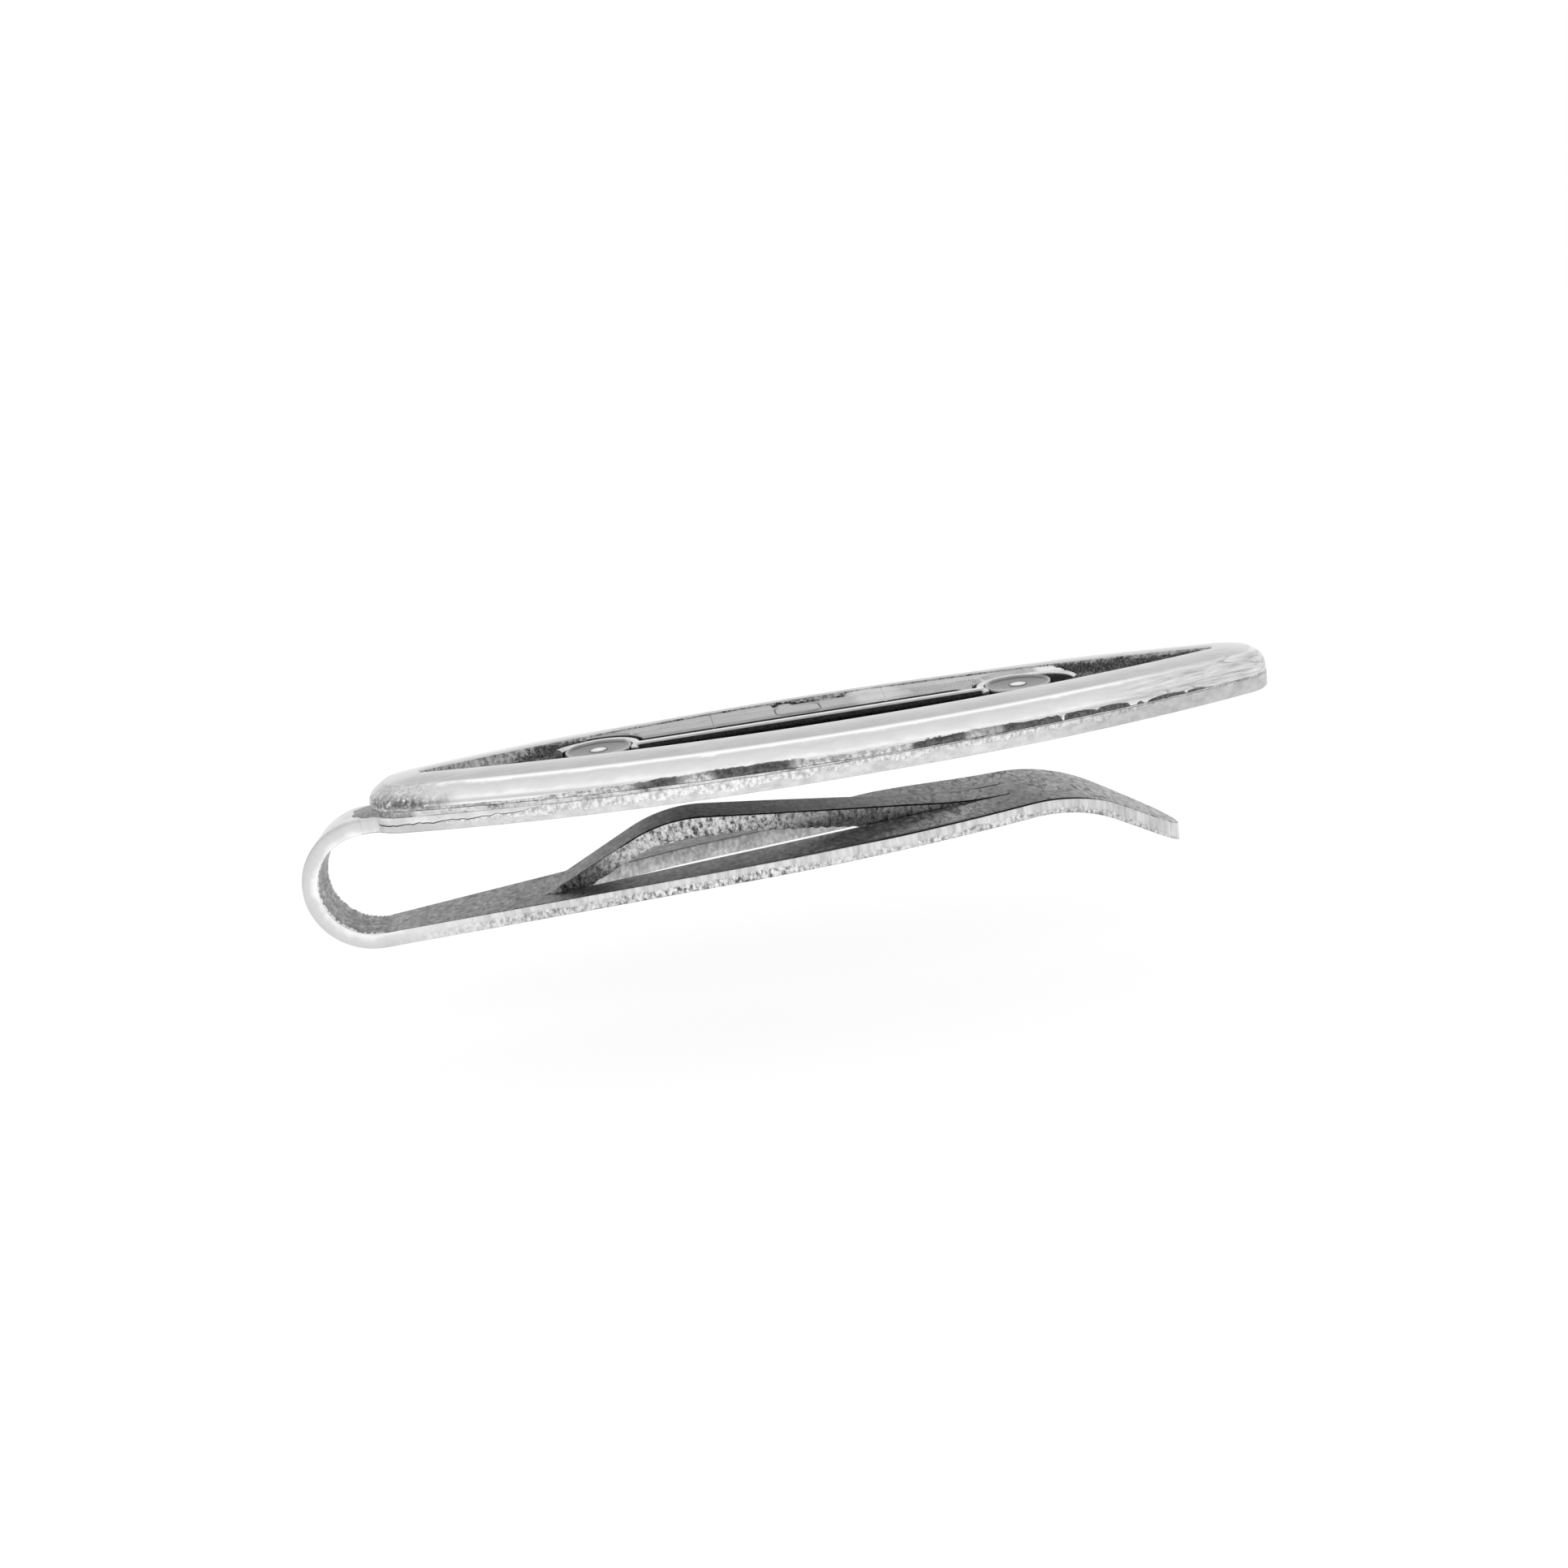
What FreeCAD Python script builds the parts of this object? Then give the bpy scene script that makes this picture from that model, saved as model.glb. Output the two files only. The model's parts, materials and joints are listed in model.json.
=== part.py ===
import FreeCAD, Part
import math
import os
import Sketcher

# A tie clip: an oval front with a car in relief, soldered to a leaf of sheet silver that is bent
# round into a springy tongue. Millimetres. The sheet below holds every size that can be set alone.
doc = FreeCAD.newDocument("TieClip")
sheet = doc.addObject("Spreadsheet::Sheet", "Sizes")
driving_sizes = [
    # front plate: an oval of two long arcs with rounded ends, and its sunk window
    ("plate_length", 46.0),
    ("plate_width", 12.6),
    ("plate_end_radius", 2.65),
    ("front_height", 1.34),
    ("rim_side_width", 2.75),
    ("rim_end_width", 2.65),
    ("window_end_radius", 0.4),
    ("recess_depth", 0.95),
    ("land_width", 0.45),
    ("rim_fall", 0.34),
    ("shoulder_width", 0.855),
    ("shoulder_foot", 0.45),
    # clip strip: sheet gauge, solder, U-bend and leaf
    ("sheet_thickness", 0.78),
    ("solder_gap", 0.04),
    ("leaf_tilt", 0.6),
    ("leaf_level_from", 2.0),
    ("leaf_ease_radius", 90.0),
    ("bend_radius", 2.56),
    ("bend_setback", 0.47),
    ("neck_width", 2.9),
    ("pivot_gap", 0.12),
    # tongue: slope towards the plate, crest, curled tip and plan outline
    ("tongue_slope", 3.2),
    ("crest_place", 9.8),
    ("crest_radius", 9.0),
    ("tip_drop", 30.0),
    ("tongue_reach", 17.8),
    ("tongue_width", 8.0),
    ("tongue_widest_at", 1.5),
    ("tongue_side_radius", 60.0),
    # bowed middle finger between the two slits
    ("finger_width", 2.0),
    ("slit_width", 0.06),
    ("finger_root", 7.85),
    ("finger_bow", 2.45),
    ("finger_rise", 22.2),
    ("finger_fall", 9.8),
    ("root_radius", 1.5),
    ("bow_radius", 7.0),
    ("fade_radius", 22.0),
    ("finger_overlap", 0.3),
    # car in relief, drawn for a window of one mean span and scaled in plan to the window it stands in
    ("car_drawn_span", 17.0),
    ("relief_clearance", 0.02),
    ("wheel_radius", 1.66),
    ("wheel_clearance", 0.4),
    ("rear_wheel_place", 11.45),
    ("front_wheel_place", 9.95),
    ("wheel_step", 0.1),
    ("tyre_width", 0.34),
    ("disc_step", 0.16),
    ("hub_radius", 0.36),
    ("hub_height", 0.14),
    ("fender_clearance", 0.05),
    ("fender_width", 0.42),
    ("fender_step", 0.12),
    ("fender_skirt", 0.35),
    ("board_rise", 0.2),
    ("board_depth", 0.75),
    ("groove_width", 0.16),
    ("body_margin", 0.34),
    ("body_round", 0.22),
    ("tail_length", 0.7),
    ("nose_length", 2.2),
    ("cockpit_rear", 2.4),
    ("cockpit_front", 1.7),
    ("cockpit_height", 1.1),
    ("cockpit_depth", 0.35),
    ("lamp_radius", 0.32),
    ("lamp_gap", 0.08),
    ("lamp_step", 0.08),
    # how near two heights or places count as the same
    ("match_tolerance", 0.01),
]
for row, (alias, value) in enumerate(driving_sizes, start=1):
    cell = f"A{row}"
    sheet.set(cell, str(value))
    sheet.setAlias(cell, alias)
doc.recompute()


def size(alias):
    """Name of one sheet cell, as expressions write it."""
    return f"Sizes.{alias}"


def reckon(expression):
    """Number that an expression on the sheet gives now."""
    return float(sheet.evalExpression(expression.replace("Sizes.", "")))


def drawn(alias):
    """Plan size of the car, as the window's mean span scales it."""
    return f"({size(alias)} * {car_scale})"


def navette_side(length, width, end_radius):
    """Radius of the long side arcs of an oval with rounded ends, all three sizes as expressions."""
    run = f"(({length}) / 2 - {end_radius})"
    return f"(({run}^2 + ({width})^2 / 4 - {end_radius}^2) / (({width}) - 2 * {end_radius}))"


# Sizes that follow from the driving ones. The plate's centre is x = 0 and the leaf's level
# underside is z = 0 while the pieces are drawn; one placement then moves them all.
plate_side = navette_side(size("plate_length"), size("plate_width"), size("plate_end_radius"))
window_length = f"({size('plate_length')} - 2 * {size('rim_end_width')})"
window_width = f"({size('plate_width')} - 2 * {size('rim_side_width')})"
window_side = navette_side(window_length, window_width, size("window_end_radius"))
car_scale = f"(sqrt({window_length} * {window_width}) / {size('car_drawn_span')})"
front_bottom = f"({size('sheet_thickness')} + {size('solder_gap')})"
front_top = f"({front_bottom} + {size('front_height')})"
floor_height = f"({front_top} - {size('recess_depth')})"
strip_middle = f"({size('bend_radius')} + {size('sheet_thickness')} / 2)"
half_gap_turn = f"({size('pivot_gap')} / 2 / {strip_middle} * 180 / pi)"

tilt = f"{size('leaf_tilt')} * 1 deg"
slope = f"{size('tongue_slope')} * 1 deg"
drop = f"{size('tip_drop')} * 1 deg"
rise = f"{size('finger_rise')} * 1 deg"
fall = f"{size('finger_fall')} * 1 deg"

bend_x = f"(-{size('plate_length')} / 2 - {size('bend_setback')})"
leaf_ease_run = f"{size('leaf_ease_radius')} * sin({tilt})"
leaf_run = f"(({size('leaf_level_from')} - {leaf_ease_run} - {bend_x} + {size('bend_radius')} * sin({tilt}))"
leaf_run = f"{leaf_run} / cos({tilt}))"
leaf_drop = f"({leaf_run} * sin({tilt}) + {size('leaf_ease_radius')} * (1 - cos({tilt})))"
bend_z = f"(-{size('bend_radius')} * cos({tilt}) - {leaf_drop})"

leg_x = f"({bend_x} + {size('bend_radius')} * sin({slope}))"
leg_z = f"({bend_z} - {size('bend_radius')} * cos({slope}))"
leg_length = f"(({size('crest_place')} - {size('crest_radius')} * sin({slope}) - {leg_x}) / cos({slope}))"
crest_z = f"({leg_z} + {leg_length} * sin({slope}) + {size('crest_radius')} * (1 - cos({slope})))"
tip_start_x = f"({size('crest_place')} + {size('crest_radius')} * sin({drop}))"
tip_start_z = f"({crest_z} - {size('crest_radius')} * (1 - cos({drop})))"
tip_run = f"({size('tongue_reach')} - {tip_start_x} + {size('sheet_thickness')} * sin({drop}))"
tip_length = f"({tip_run} / cos({drop}) + {size('sheet_thickness')})"
lowest_z = f"({tip_start_z} - {size('sheet_thickness')} * cos({drop}) - {tip_run} * tan({drop}))"

overhang = f"({size('bend_setback')} + {size('bend_radius')} + {size('sheet_thickness')})"
shift_x = f"({overhang} / 2)"
lift_z = f"(-{lowest_z})"


def new_body(label, x="0", y="0", z="0"):
    """Empty body for one piece, set down where the finished clip stands."""
    body = doc.addObject("PartDesign::Body", label)
    body.Label = label
    body.setExpression("Placement.Base.x", f"{shift_x} + {x}")
    body.setExpression("Placement.Base.y", y)
    body.setExpression("Placement.Base.z", f"{lift_z} + {z}")
    return body


def new_sketch(body, name, role="XY_Plane", height="0"):
    """Sketch on one of the body's own planes, raised by a height."""
    sketch = body.newObject("Sketcher::SketchObject", name)
    plane = next(item for item in body.Origin.OriginFeatures if item.Role == role)
    sketch.AttachmentSupport = [(plane, "")]
    sketch.MapMode = "FlatFace"
    sketch.setExpression("AttachmentOffset.Base.z", height)
    return sketch


def point(x, y):
    return FreeCAD.Vector(x, y, 0)


def arc(center, radius, start_angle, end_angle):
    """Arc that runs anticlockwise between two angles in degrees."""
    circle = Part.Circle(center, FreeCAD.Vector(0, 0, 1), radius)
    return Part.ArcOfCircle(circle, math.radians(start_angle), math.radians(end_angle))


def relate(sketch, kind, *where):
    """Geometric constraint."""
    sketch.addConstraint(Sketcher.Constraint(kind, *where))


def dimension(sketch, kind, where, expression):
    """Driving dimension tied to the sheet, with angles in degrees."""
    value = reckon(expression)
    if kind == "Angle":
        value = math.radians(value)
    index = sketch.addConstraint(Sketcher.Constraint(kind, *where, value))
    sketch.setExpression(f"Constraints[{index}]", expression)


START, END, CENTER = range(1, 4)
ORIGIN = (-1, 1)
X_AXIS, Y_AXIS = range(-1, -3, -1)
ON_AXIS = "0"


def place_point(sketch, geometry, corner, x, y):
    """Fixes a point by its distances from the origin, each measured the way that makes it positive."""
    for kind, expression, axis in (("DistanceX", x, Y_AXIS), ("DistanceY", y, X_AXIS)):
        if expression == ON_AXIS:
            relate(sketch, "PointOnObject", geometry, corner, axis)
        elif reckon(expression) < 0:
            dimension(sketch, kind, (geometry, corner, *ORIGIN), f"-({expression})")
        else:
            dimension(sketch, kind, (*ORIGIN, geometry, corner), expression)


def polygon(sketch, corners):
    """Closed run of straight lines through corners given as pairs of expressions."""
    numbers = [point(reckon(x), reckon(y)) for x, y in corners]
    first = sketch.GeometryCount
    count = len(corners)
    for index in range(count):
        sketch.addGeometry(Part.LineSegment(numbers[index], numbers[(index + 1) % count]))
    for index, (x, y) in enumerate(corners):
        relate(sketch, "Coincident", first + index, START, first + (index - 1) % count, END)
        place_point(sketch, first + index, START, x, y)


def navette(sketch, length, width, end_radius):
    """Oval of two long side arcs, each tangent to a small arc at both ends."""
    side = navette_side(length, width, end_radius)
    run = f"(({length}) / 2 - {end_radius})"
    side_now, run_now, end_now = reckon(side), reckon(run), reckon(end_radius)
    offset = side_now - reckon(width) / 2
    reach = math.degrees(math.atan2(offset, run_now))
    first = sketch.GeometryCount
    right, top, left, bottom = range(first, first + 4)
    sketch.addGeometry(arc(point(run_now, 0), end_now, -reach, reach))
    sketch.addGeometry(arc(point(0, -offset), side_now, reach, 180 - reach))
    sketch.addGeometry(arc(point(-run_now, 0), end_now, 180 - reach, 180 + reach))
    sketch.addGeometry(arc(point(0, offset), side_now, 180 + reach, 360 - reach))
    for before, after in ((right, top), (top, left), (left, bottom), (bottom, right)):
        relate(sketch, "Tangent", before, END, after, START)
    for end in (right, left):
        relate(sketch, "PointOnObject", end, CENTER, X_AXIS)
        dimension(sketch, "Radius", (end,), end_radius)
    dimension(sketch, "DistanceX", (*ORIGIN, right, CENTER), run)
    dimension(sketch, "DistanceX", (left, CENTER, *ORIGIN), run)
    for long_side in (top, bottom):
        dimension(sketch, "Radius", (long_side,), side)


def ribbon(sketch, start, heading, side, path):
    """Side profile of bent sheet: a path of tangent lines and arcs, and its offset by the gauge.

    The path starts at a point, heading the given angle. A line is ("line", length) and an arc is
    ("arc", radius, turn) with a positive turn to the left. The sheet lies on the left of the path
    where side is 1 and on its right where side is -1.
    """
    gauge = size("sheet_thickness")
    gauge_now = reckon(gauge)
    angle = reckon(heading)
    here = point(reckon(start[0]), reckon(start[1]))
    near, far, ends, headings = [], [], [], []
    course = heading
    for step in path:
        across = math.radians(angle + 90 * side)
        offset = point(gauge_now * math.cos(across), gauge_now * math.sin(across))
        headings.append(course)
        if step[0] == "line":
            length, bearing = reckon(step[1]), math.radians(angle)
            ahead = here + point(length * math.cos(bearing), length * math.sin(bearing))
            near.append(sketch.addGeometry(Part.LineSegment(here, ahead)))
            far.append(sketch.addGeometry(Part.LineSegment(here + offset, ahead + offset)))
            ends.append((START, END))
        else:
            radius, turn = reckon(step[1]), reckon(step[2])
            way = 1 if turn > 0 else -1
            inward = math.radians(angle + 90 * way)
            center = here + point(radius * math.cos(inward), radius * math.sin(inward))
            angles = sorted((angle - 90 * way, angle + turn - 90 * way))
            other = radius - gauge_now * side * way
            near.append(sketch.addGeometry(arc(center, radius, *angles)))
            far.append(sketch.addGeometry(arc(center, other, *angles)))
            relate(sketch, "Coincident", near[-1], CENTER, far[-1], CENTER)
            angle += turn
            course = f"{course} + ({step[2]})"
            outward = math.radians(angle - 90 * way)
            ahead = center + point(radius * math.cos(outward), radius * math.sin(outward))
            ends.append((START, END) if way > 0 else (END, START))
        here = ahead
    for edge in (near, far):
        for index in range(len(path) - 1):
            relate(sketch, "Tangent", edge[index], ends[index][1], edge[index + 1], ends[index + 1][0])
    for index, step in enumerate(path):
        if step[0] == "line":
            dimension(sketch, "Distance", (near[index],), step[1])
            dimension(sketch, "Angle", (near[index],), headings[index])
        else:
            way = 1 if reckon(step[2]) > 0 else -1
            dimension(sketch, "Radius", (near[index],), step[1])
            sign = "-" if side * way > 0 else "+"
            dimension(sketch, "Radius", (far[index],), f"{step[1]} {sign} {gauge}")
    for index, corner in ((0, 0), (-1, 1)):
        where = ends[index][corner]
        cap = sketch.addGeometry(Part.LineSegment(
            sketch.getPoint(near[index], where), sketch.getPoint(far[index], where)))
        relate(sketch, "Coincident", cap, START, near[index], where)
        relate(sketch, "Coincident", cap, END, far[index], where)
        if path[index][0] == "line":
            relate(sketch, "Perpendicular", cap, near[index])
            relate(sketch, "Parallel", near[index], far[index])
        else:
            relate(sketch, "PointOnObject", near[index], CENTER, cap)
            dimension(sketch, "Angle", (cap,), f"{heading} + {90 * side}")
    place_point(sketch, near[0], ends[0][0], *start)


def pad(body, name, profile, length, both_ways=False):
    feature = body.newObject("PartDesign::Pad", name)
    feature.Profile = profile
    feature.SideType = "Symmetric" if both_ways else "One side"
    feature.setExpression("Length", length)
    return feature


def cut_through(body, name, profile):
    """Cuts a profile right through the piece, both ways from its plane."""
    feature = body.newObject("PartDesign::Pocket", name)
    feature.Profile = profile
    feature.Type = "ThroughAll"
    feature.SideType = "Symmetric"
    return feature


def pocket(body, name, profile, depth):
    feature = body.newObject("PartDesign::Pocket", name)
    feature.Profile = profile
    feature.setExpression("Length", depth)
    return feature


def edges_of(feature, wanted):
    """Names of a feature's edges that pass a test."""
    edges = feature.Shape.Edges
    return [f"Edge{index}" for index, edge in enumerate(edges, start=1) if wanted(edge)]


def level_at(edge, height):
    box, near = edge.BoundBox, reckon(size("match_tolerance"))
    return abs(box.ZMin - height) < near and abs(box.ZMax - height) < near


def surround(sketch):
    """Frame well outside the clip, so that a plan outline inside it leaves only the outline's piece."""
    reach = f"({size('plate_length')} * 2)"
    polygon(sketch, [(f"-{reach}", f"-{reach}"), (reach, f"-{reach}"), (reach, reach), (f"-{reach}", reach)])


# Front plate: oval blank, sunk window, a top that falls away outwards from a narrow flat land
# round the window to a crease, and a steeper shoulder outside the crease.
front = new_body("front_plate")
outline = new_sketch(front, "FrontOutline", height=front_bottom)
navette(outline, size("plate_length"), size("plate_width"), size("plate_end_radius"))
pad(front, "FrontBlank", outline, size("front_height"))
window = new_sketch(front, "WindowOutline", height=front_top)
navette(window, window_length, window_width, size("window_end_radius"))
front_window = pocket(front, "Window", window, size("recess_depth"))
doc.recompute()


def outside_window(edge):
    box, near = edge.BoundBox, reckon(size("match_tolerance"))
    past_side = max(abs(box.YMin), abs(box.YMax)) > reckon(window_width) / 2 + near
    past_end = max(abs(box.XMin), abs(box.XMax)) > reckon(window_length) / 2 + near
    return past_side or past_end


# The crease lies where the fall, which would drop by rim_fall at the outer edge, meets the shoulder.
narrow_rim = f"min({size('rim_side_width')}; {size('rim_end_width')}; {size('plate_end_radius')})"
fall_run = f"({narrow_rim} - {size('land_width')})"
crease_drop = f"({size('rim_fall')} * ({fall_run} - {size('shoulder_width')}) / {fall_run})"
shoulder_cut = f"({size('front_height')} - {size('shoulder_foot')})"
shoulder_inset = f"({size('shoulder_width')} * {shoulder_cut} / ({shoulder_cut} - {crease_drop}))"
past_crease = f"({shoulder_inset} - {size('shoulder_width')})"


def rim_chamfer(name, base, down, inward):
    """Two-distance chamfer of the outer edge of the top face."""
    chamfer = front.newObject("PartDesign::Chamfer", name)
    chamfer.Base = (base, edges_of(
        base, lambda edge: level_at(edge, reckon(front_top)) and outside_window(edge)))
    chamfer.ChamferType = "Two distances"
    chamfer.setExpression("Size", down)
    chamfer.setExpression("Size2", inward)
    doc.recompute()
    return chamfer


shoulder = rim_chamfer("RimShoulder", front_window, shoulder_cut, shoulder_inset)
rim_chamfer("RimFall", shoulder, f"sqrt({past_crease}^2 + {crease_drop}^2)", f"{fall_run} - {shoulder_inset}")

# Solder: fills the wedge between the tilted leaf and the front plate, in the front's outline.
solder = new_body("solder_layer")
wedge = new_sketch(solder, "SolderSide", "XZ_Plane")
leaf_top = size("sheet_thickness")
plate_half = f"({size('plate_length')} / 2)"
crease_x = f"({size('leaf_level_from')} - ({size('leaf_ease_radius')} + {leaf_top}) * tan({tilt} / 2))"
polygon(wedge, [
    (f"-{plate_half}", f"{leaf_top} - ({plate_half} + {crease_x}) * tan({tilt})"),
    (crease_x, leaf_top),
    (plate_half, leaf_top),
    (plate_half, front_bottom),
    (f"-{plate_half}", front_bottom),
])
pad(solder, "SolderBlank", wedge, size("plate_width"), both_ways=True)
solder_plan = new_sketch(solder, "SolderPlan")
navette(solder_plan, size("plate_length"), size("plate_width"), size("plate_end_radius"))
surround(solder_plan)
cut_through(solder, "SolderTrim", solder_plan)

# Back leaf: upper half of the U-bend, then the leaf that follows the front's long sides and
# runs out into the narrow neck at the bend.
leaf = new_body("back_leaf")
leaf_side = new_sketch(leaf, "LeafSide", "XZ_Plane")
leaf_heading = f"90 - {half_gap_turn}"
leaf_turn = f"({size('leaf_tilt')} - 90 + {half_gap_turn})"
half_gap = f"{half_gap_turn} * 1 deg"
leaf_start = (
    f"{bend_x} - {size('bend_radius')} * cos({half_gap})",
    f"{bend_z} + {size('bend_radius')} * sin({half_gap})",
)
level_run = f"({size('plate_length')} / 2 - {size('leaf_level_from')})"
ribbon(leaf_side, leaf_start, leaf_heading, 1, [
    ("arc", size("bend_radius"), leaf_turn),
    ("line", leaf_run),
    ("arc", size("leaf_ease_radius"), f"-{size('leaf_tilt')}"),
    ("line", level_run),
])
pad(leaf, "LeafBlank", leaf_side, size("plate_width"), both_ways=True)


def leaf_outline(sketch):
    """The front's right end and long sides, met on the left by the straight neck."""
    end_run = f"({size('plate_length')} / 2 - {size('plate_end_radius')})"
    side_now, run_now = reckon(plate_side), reckon(end_run)
    offset = side_now - reckon(size("plate_width")) / 2
    reach = math.degrees(math.atan2(offset, run_now))
    neck_now = reckon(size("neck_width")) / 2
    neck_reach = math.degrees(math.asin((neck_now + offset) / side_now))
    back_now = reckon(f"{bend_x} - {overhang}")
    neck_x = -side_now * math.cos(math.radians(neck_reach))
    end, top, upper, back, lower, bottom = range(6)
    sketch.addGeometry(arc(point(run_now, 0), reckon(size("plate_end_radius")), -reach, reach))
    sketch.addGeometry(arc(point(0, -offset), side_now, reach, 180 - neck_reach))
    sketch.addGeometry(Part.LineSegment(point(neck_x, neck_now), point(back_now, neck_now)))
    sketch.addGeometry(Part.LineSegment(point(back_now, neck_now), point(back_now, -neck_now)))
    sketch.addGeometry(Part.LineSegment(point(back_now, -neck_now), point(neck_x, -neck_now)))
    sketch.addGeometry(arc(point(0, offset), side_now, 180 + neck_reach, 360 - reach))
    relate(sketch, "Tangent", bottom, END, end, START)
    relate(sketch, "Tangent", end, END, top, START)
    for before, after in ((top, upper), (upper, back), (back, lower), (lower, bottom)):
        relate(sketch, "Coincident", before, END, after, START)
    relate(sketch, "PointOnObject", end, CENTER, X_AXIS)
    dimension(sketch, "DistanceX", (*ORIGIN, end, CENTER), end_run)
    dimension(sketch, "Radius", (end,), size("plate_end_radius"))
    for long_side in (top, bottom):
        dimension(sketch, "Radius", (long_side,), plate_side)
        relate(sketch, "PointOnObject", long_side, CENTER, Y_AXIS)
    relate(sketch, "Horizontal", upper)
    relate(sketch, "Horizontal", lower)
    place_point(sketch, back, START, f"{bend_x} - {overhang}", f"{size('neck_width')} / 2")
    place_point(sketch, back, END, f"{bend_x} - {overhang}", f"-{size('neck_width')} / 2")


leaf_plan = new_sketch(leaf, "LeafPlan")
leaf_outline(leaf_plan)
surround(leaf_plan)
cut_through(leaf, "LeafTrim", leaf_plan)

# Tongue: lower half of the bend, a straight leg that slopes towards the plate, a crest and a tip
# that curls away, cut to a leaf-shaped plan. Two slits free a middle finger, which is bowed up.
tongue = new_body("tongue")
tongue_side = new_sketch(tongue, "TongueSide", "XZ_Plane")
tongue_heading = f"{half_gap_turn} - 90"
tongue_turn = f"(90 + {size('tongue_slope')} - {half_gap_turn})"
tongue_start = (
    f"{bend_x} - {size('bend_radius')} * cos({half_gap})",
    f"{bend_z} - {size('bend_radius')} * sin({half_gap})",
)
ribbon(tongue_side, tongue_start, tongue_heading, -1, [
    ("arc", size("bend_radius"), tongue_turn),
    ("line", leg_length),
    ("arc", size("crest_radius"), f"-({size('tongue_slope')} + {size('tip_drop')})"),
    ("line", tip_length),
])
pad(tongue, "TongueBlank", tongue_side, size("plate_width"), both_ways=True)


def tongue_outline(sketch):
    """Straight neck round the bend, a taper, two long side arcs and a round tip tangent to them."""
    bow, widest = size("tongue_side_radius"), size("tongue_widest_at")
    half_width = f"({size('tongue_width')} / 2)"
    center_y = f"({bow} - {half_width})"
    tip_reach = f"({size('tongue_reach')} - {widest})"
    tip_radius = f"(2 * {bow} * {half_width} - {half_width}^2 - {tip_reach}^2)"
    tip_radius = f"({tip_radius} / (2 * ({bow} - {tip_reach})))"
    back_x, neck = f"({bend_x} - {overhang})", f"({size('neck_width')} / 2)"
    bow_now, widest_now, center_now = reckon(bow), reckon(widest), reckon(center_y)
    back_now, neck_now, radius_now = reckon(back_x), reckon(neck), reckon(tip_radius)
    taper_now, tip_now = reckon(bend_x), reckon(size("tongue_reach")) - radius_now
    reach = math.degrees(math.atan2(center_now, tip_now - widest_now))
    to_neck = point(taper_now - widest_now, neck_now + center_now)
    taper = math.degrees(math.atan2(to_neck.y, to_neck.x)) - math.degrees(math.acos(bow_now / to_neck.Length))
    touch = point(math.cos(math.radians(taper)), math.sin(math.radians(taper))) * bow_now
    tip, top, upper, upper_neck, back, lower_neck, lower, bottom = range(8)
    sketch.addGeometry(arc(point(tip_now, 0), radius_now, -reach, reach))
    sketch.addGeometry(arc(point(widest_now, -center_now), bow_now, reach, taper))
    joint = point(widest_now + touch.x, touch.y - center_now)
    mirror = point(joint.x, -joint.y)
    corners = [joint, point(taper_now, neck_now), point(back_now, neck_now)]
    corners += [point(back_now, -neck_now), point(taper_now, -neck_now), mirror]
    for first, second in zip(corners, corners[1:]):
        sketch.addGeometry(Part.LineSegment(first, second))
    sketch.addGeometry(arc(point(widest_now, center_now), bow_now, 360 - taper, 360 - reach))
    for before, after in ((bottom, tip), (tip, top), (top, upper), (lower, bottom)):
        relate(sketch, "Tangent", before, END, after, START)
    for before, after in ((upper, upper_neck), (upper_neck, back), (back, lower_neck), (lower_neck, lower)):
        relate(sketch, "Coincident", before, END, after, START)
    for long_side, sign in ((top, "-"), (bottom, "")):
        dimension(sketch, "Radius", (long_side,), bow)
        place_point(sketch, long_side, CENTER, widest, f"{sign}{center_y}")
    dimension(sketch, "Radius", (tip,), tip_radius)
    place_point(sketch, back, START, back_x, neck)
    place_point(sketch, back, END, back_x, f"-{neck}")
    place_point(sketch, upper, END, bend_x, neck)
    place_point(sketch, lower, START, bend_x, f"-{neck}")


tongue_plan = new_sketch(tongue, "TonguePlan")
tongue_outline(tongue_plan)
surround(tongue_plan)
cut_through(tongue, "TongueTrim", tongue_plan)

rise_line = f"({size('finger_bow')} - ({size('root_radius')} + {size('bow_radius')}) * (1 - cos({rise})))"
rise_line = f"({rise_line} / sin({rise}))"
fall_line = f"({size('finger_bow')} - ({size('bow_radius')} + {size('fade_radius')}) * (1 - cos({fall})))"
fall_line = f"({fall_line} / sin({fall}))"
finger_length = " + ".join([
    f"({size('root_radius')} + {size('bow_radius')}) * sin({rise})",
    f"{rise_line} * cos({rise})",
    f"({size('bow_radius')} + {size('fade_radius')}) * sin({fall})",
    f"{fall_line} * cos({fall})",
])


def along_leg(distance):
    """Point on the leg's upper face at a distance from the bend."""
    return f"{leg_x} + ({distance}) * cos({slope})", f"{leg_z} + ({distance}) * sin({slope})"


slit_half = f"({size('finger_width')} / 2 + {size('slit_width')})"
slit_from = along_leg(size("finger_root"))[0]
slit_to = along_leg(f"{size('finger_root')} + {finger_length}")[0]
slits = new_sketch(tongue, "Slits")
polygon(slits, [
    (slit_from, f"-{slit_half}"),
    (slit_to, f"-{slit_half}"),
    (slit_to, slit_half),
    (slit_from, slit_half),
])
cut_through(tongue, "SlitOpening", slits)
finger_side = new_sketch(tongue, "FingerSide", "XZ_Plane")
finger_start = along_leg(f"{size('finger_root')} - {size('finger_overlap')}")
ribbon(finger_side, finger_start, size("tongue_slope"), -1, [
    ("line", size("finger_overlap")),
    ("arc", size("root_radius"), size("finger_rise")),
    ("line", rise_line),
    ("arc", size("bow_radius"), f"-({size('finger_rise')} + {size('finger_fall')})"),
    ("line", fall_line),
    ("arc", size("fade_radius"), size("finger_fall")),
    ("line", size("finger_overlap")),
])
pad(tongue, "BowedFinger", finger_side, size("finger_width"), both_ways=True)

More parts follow.
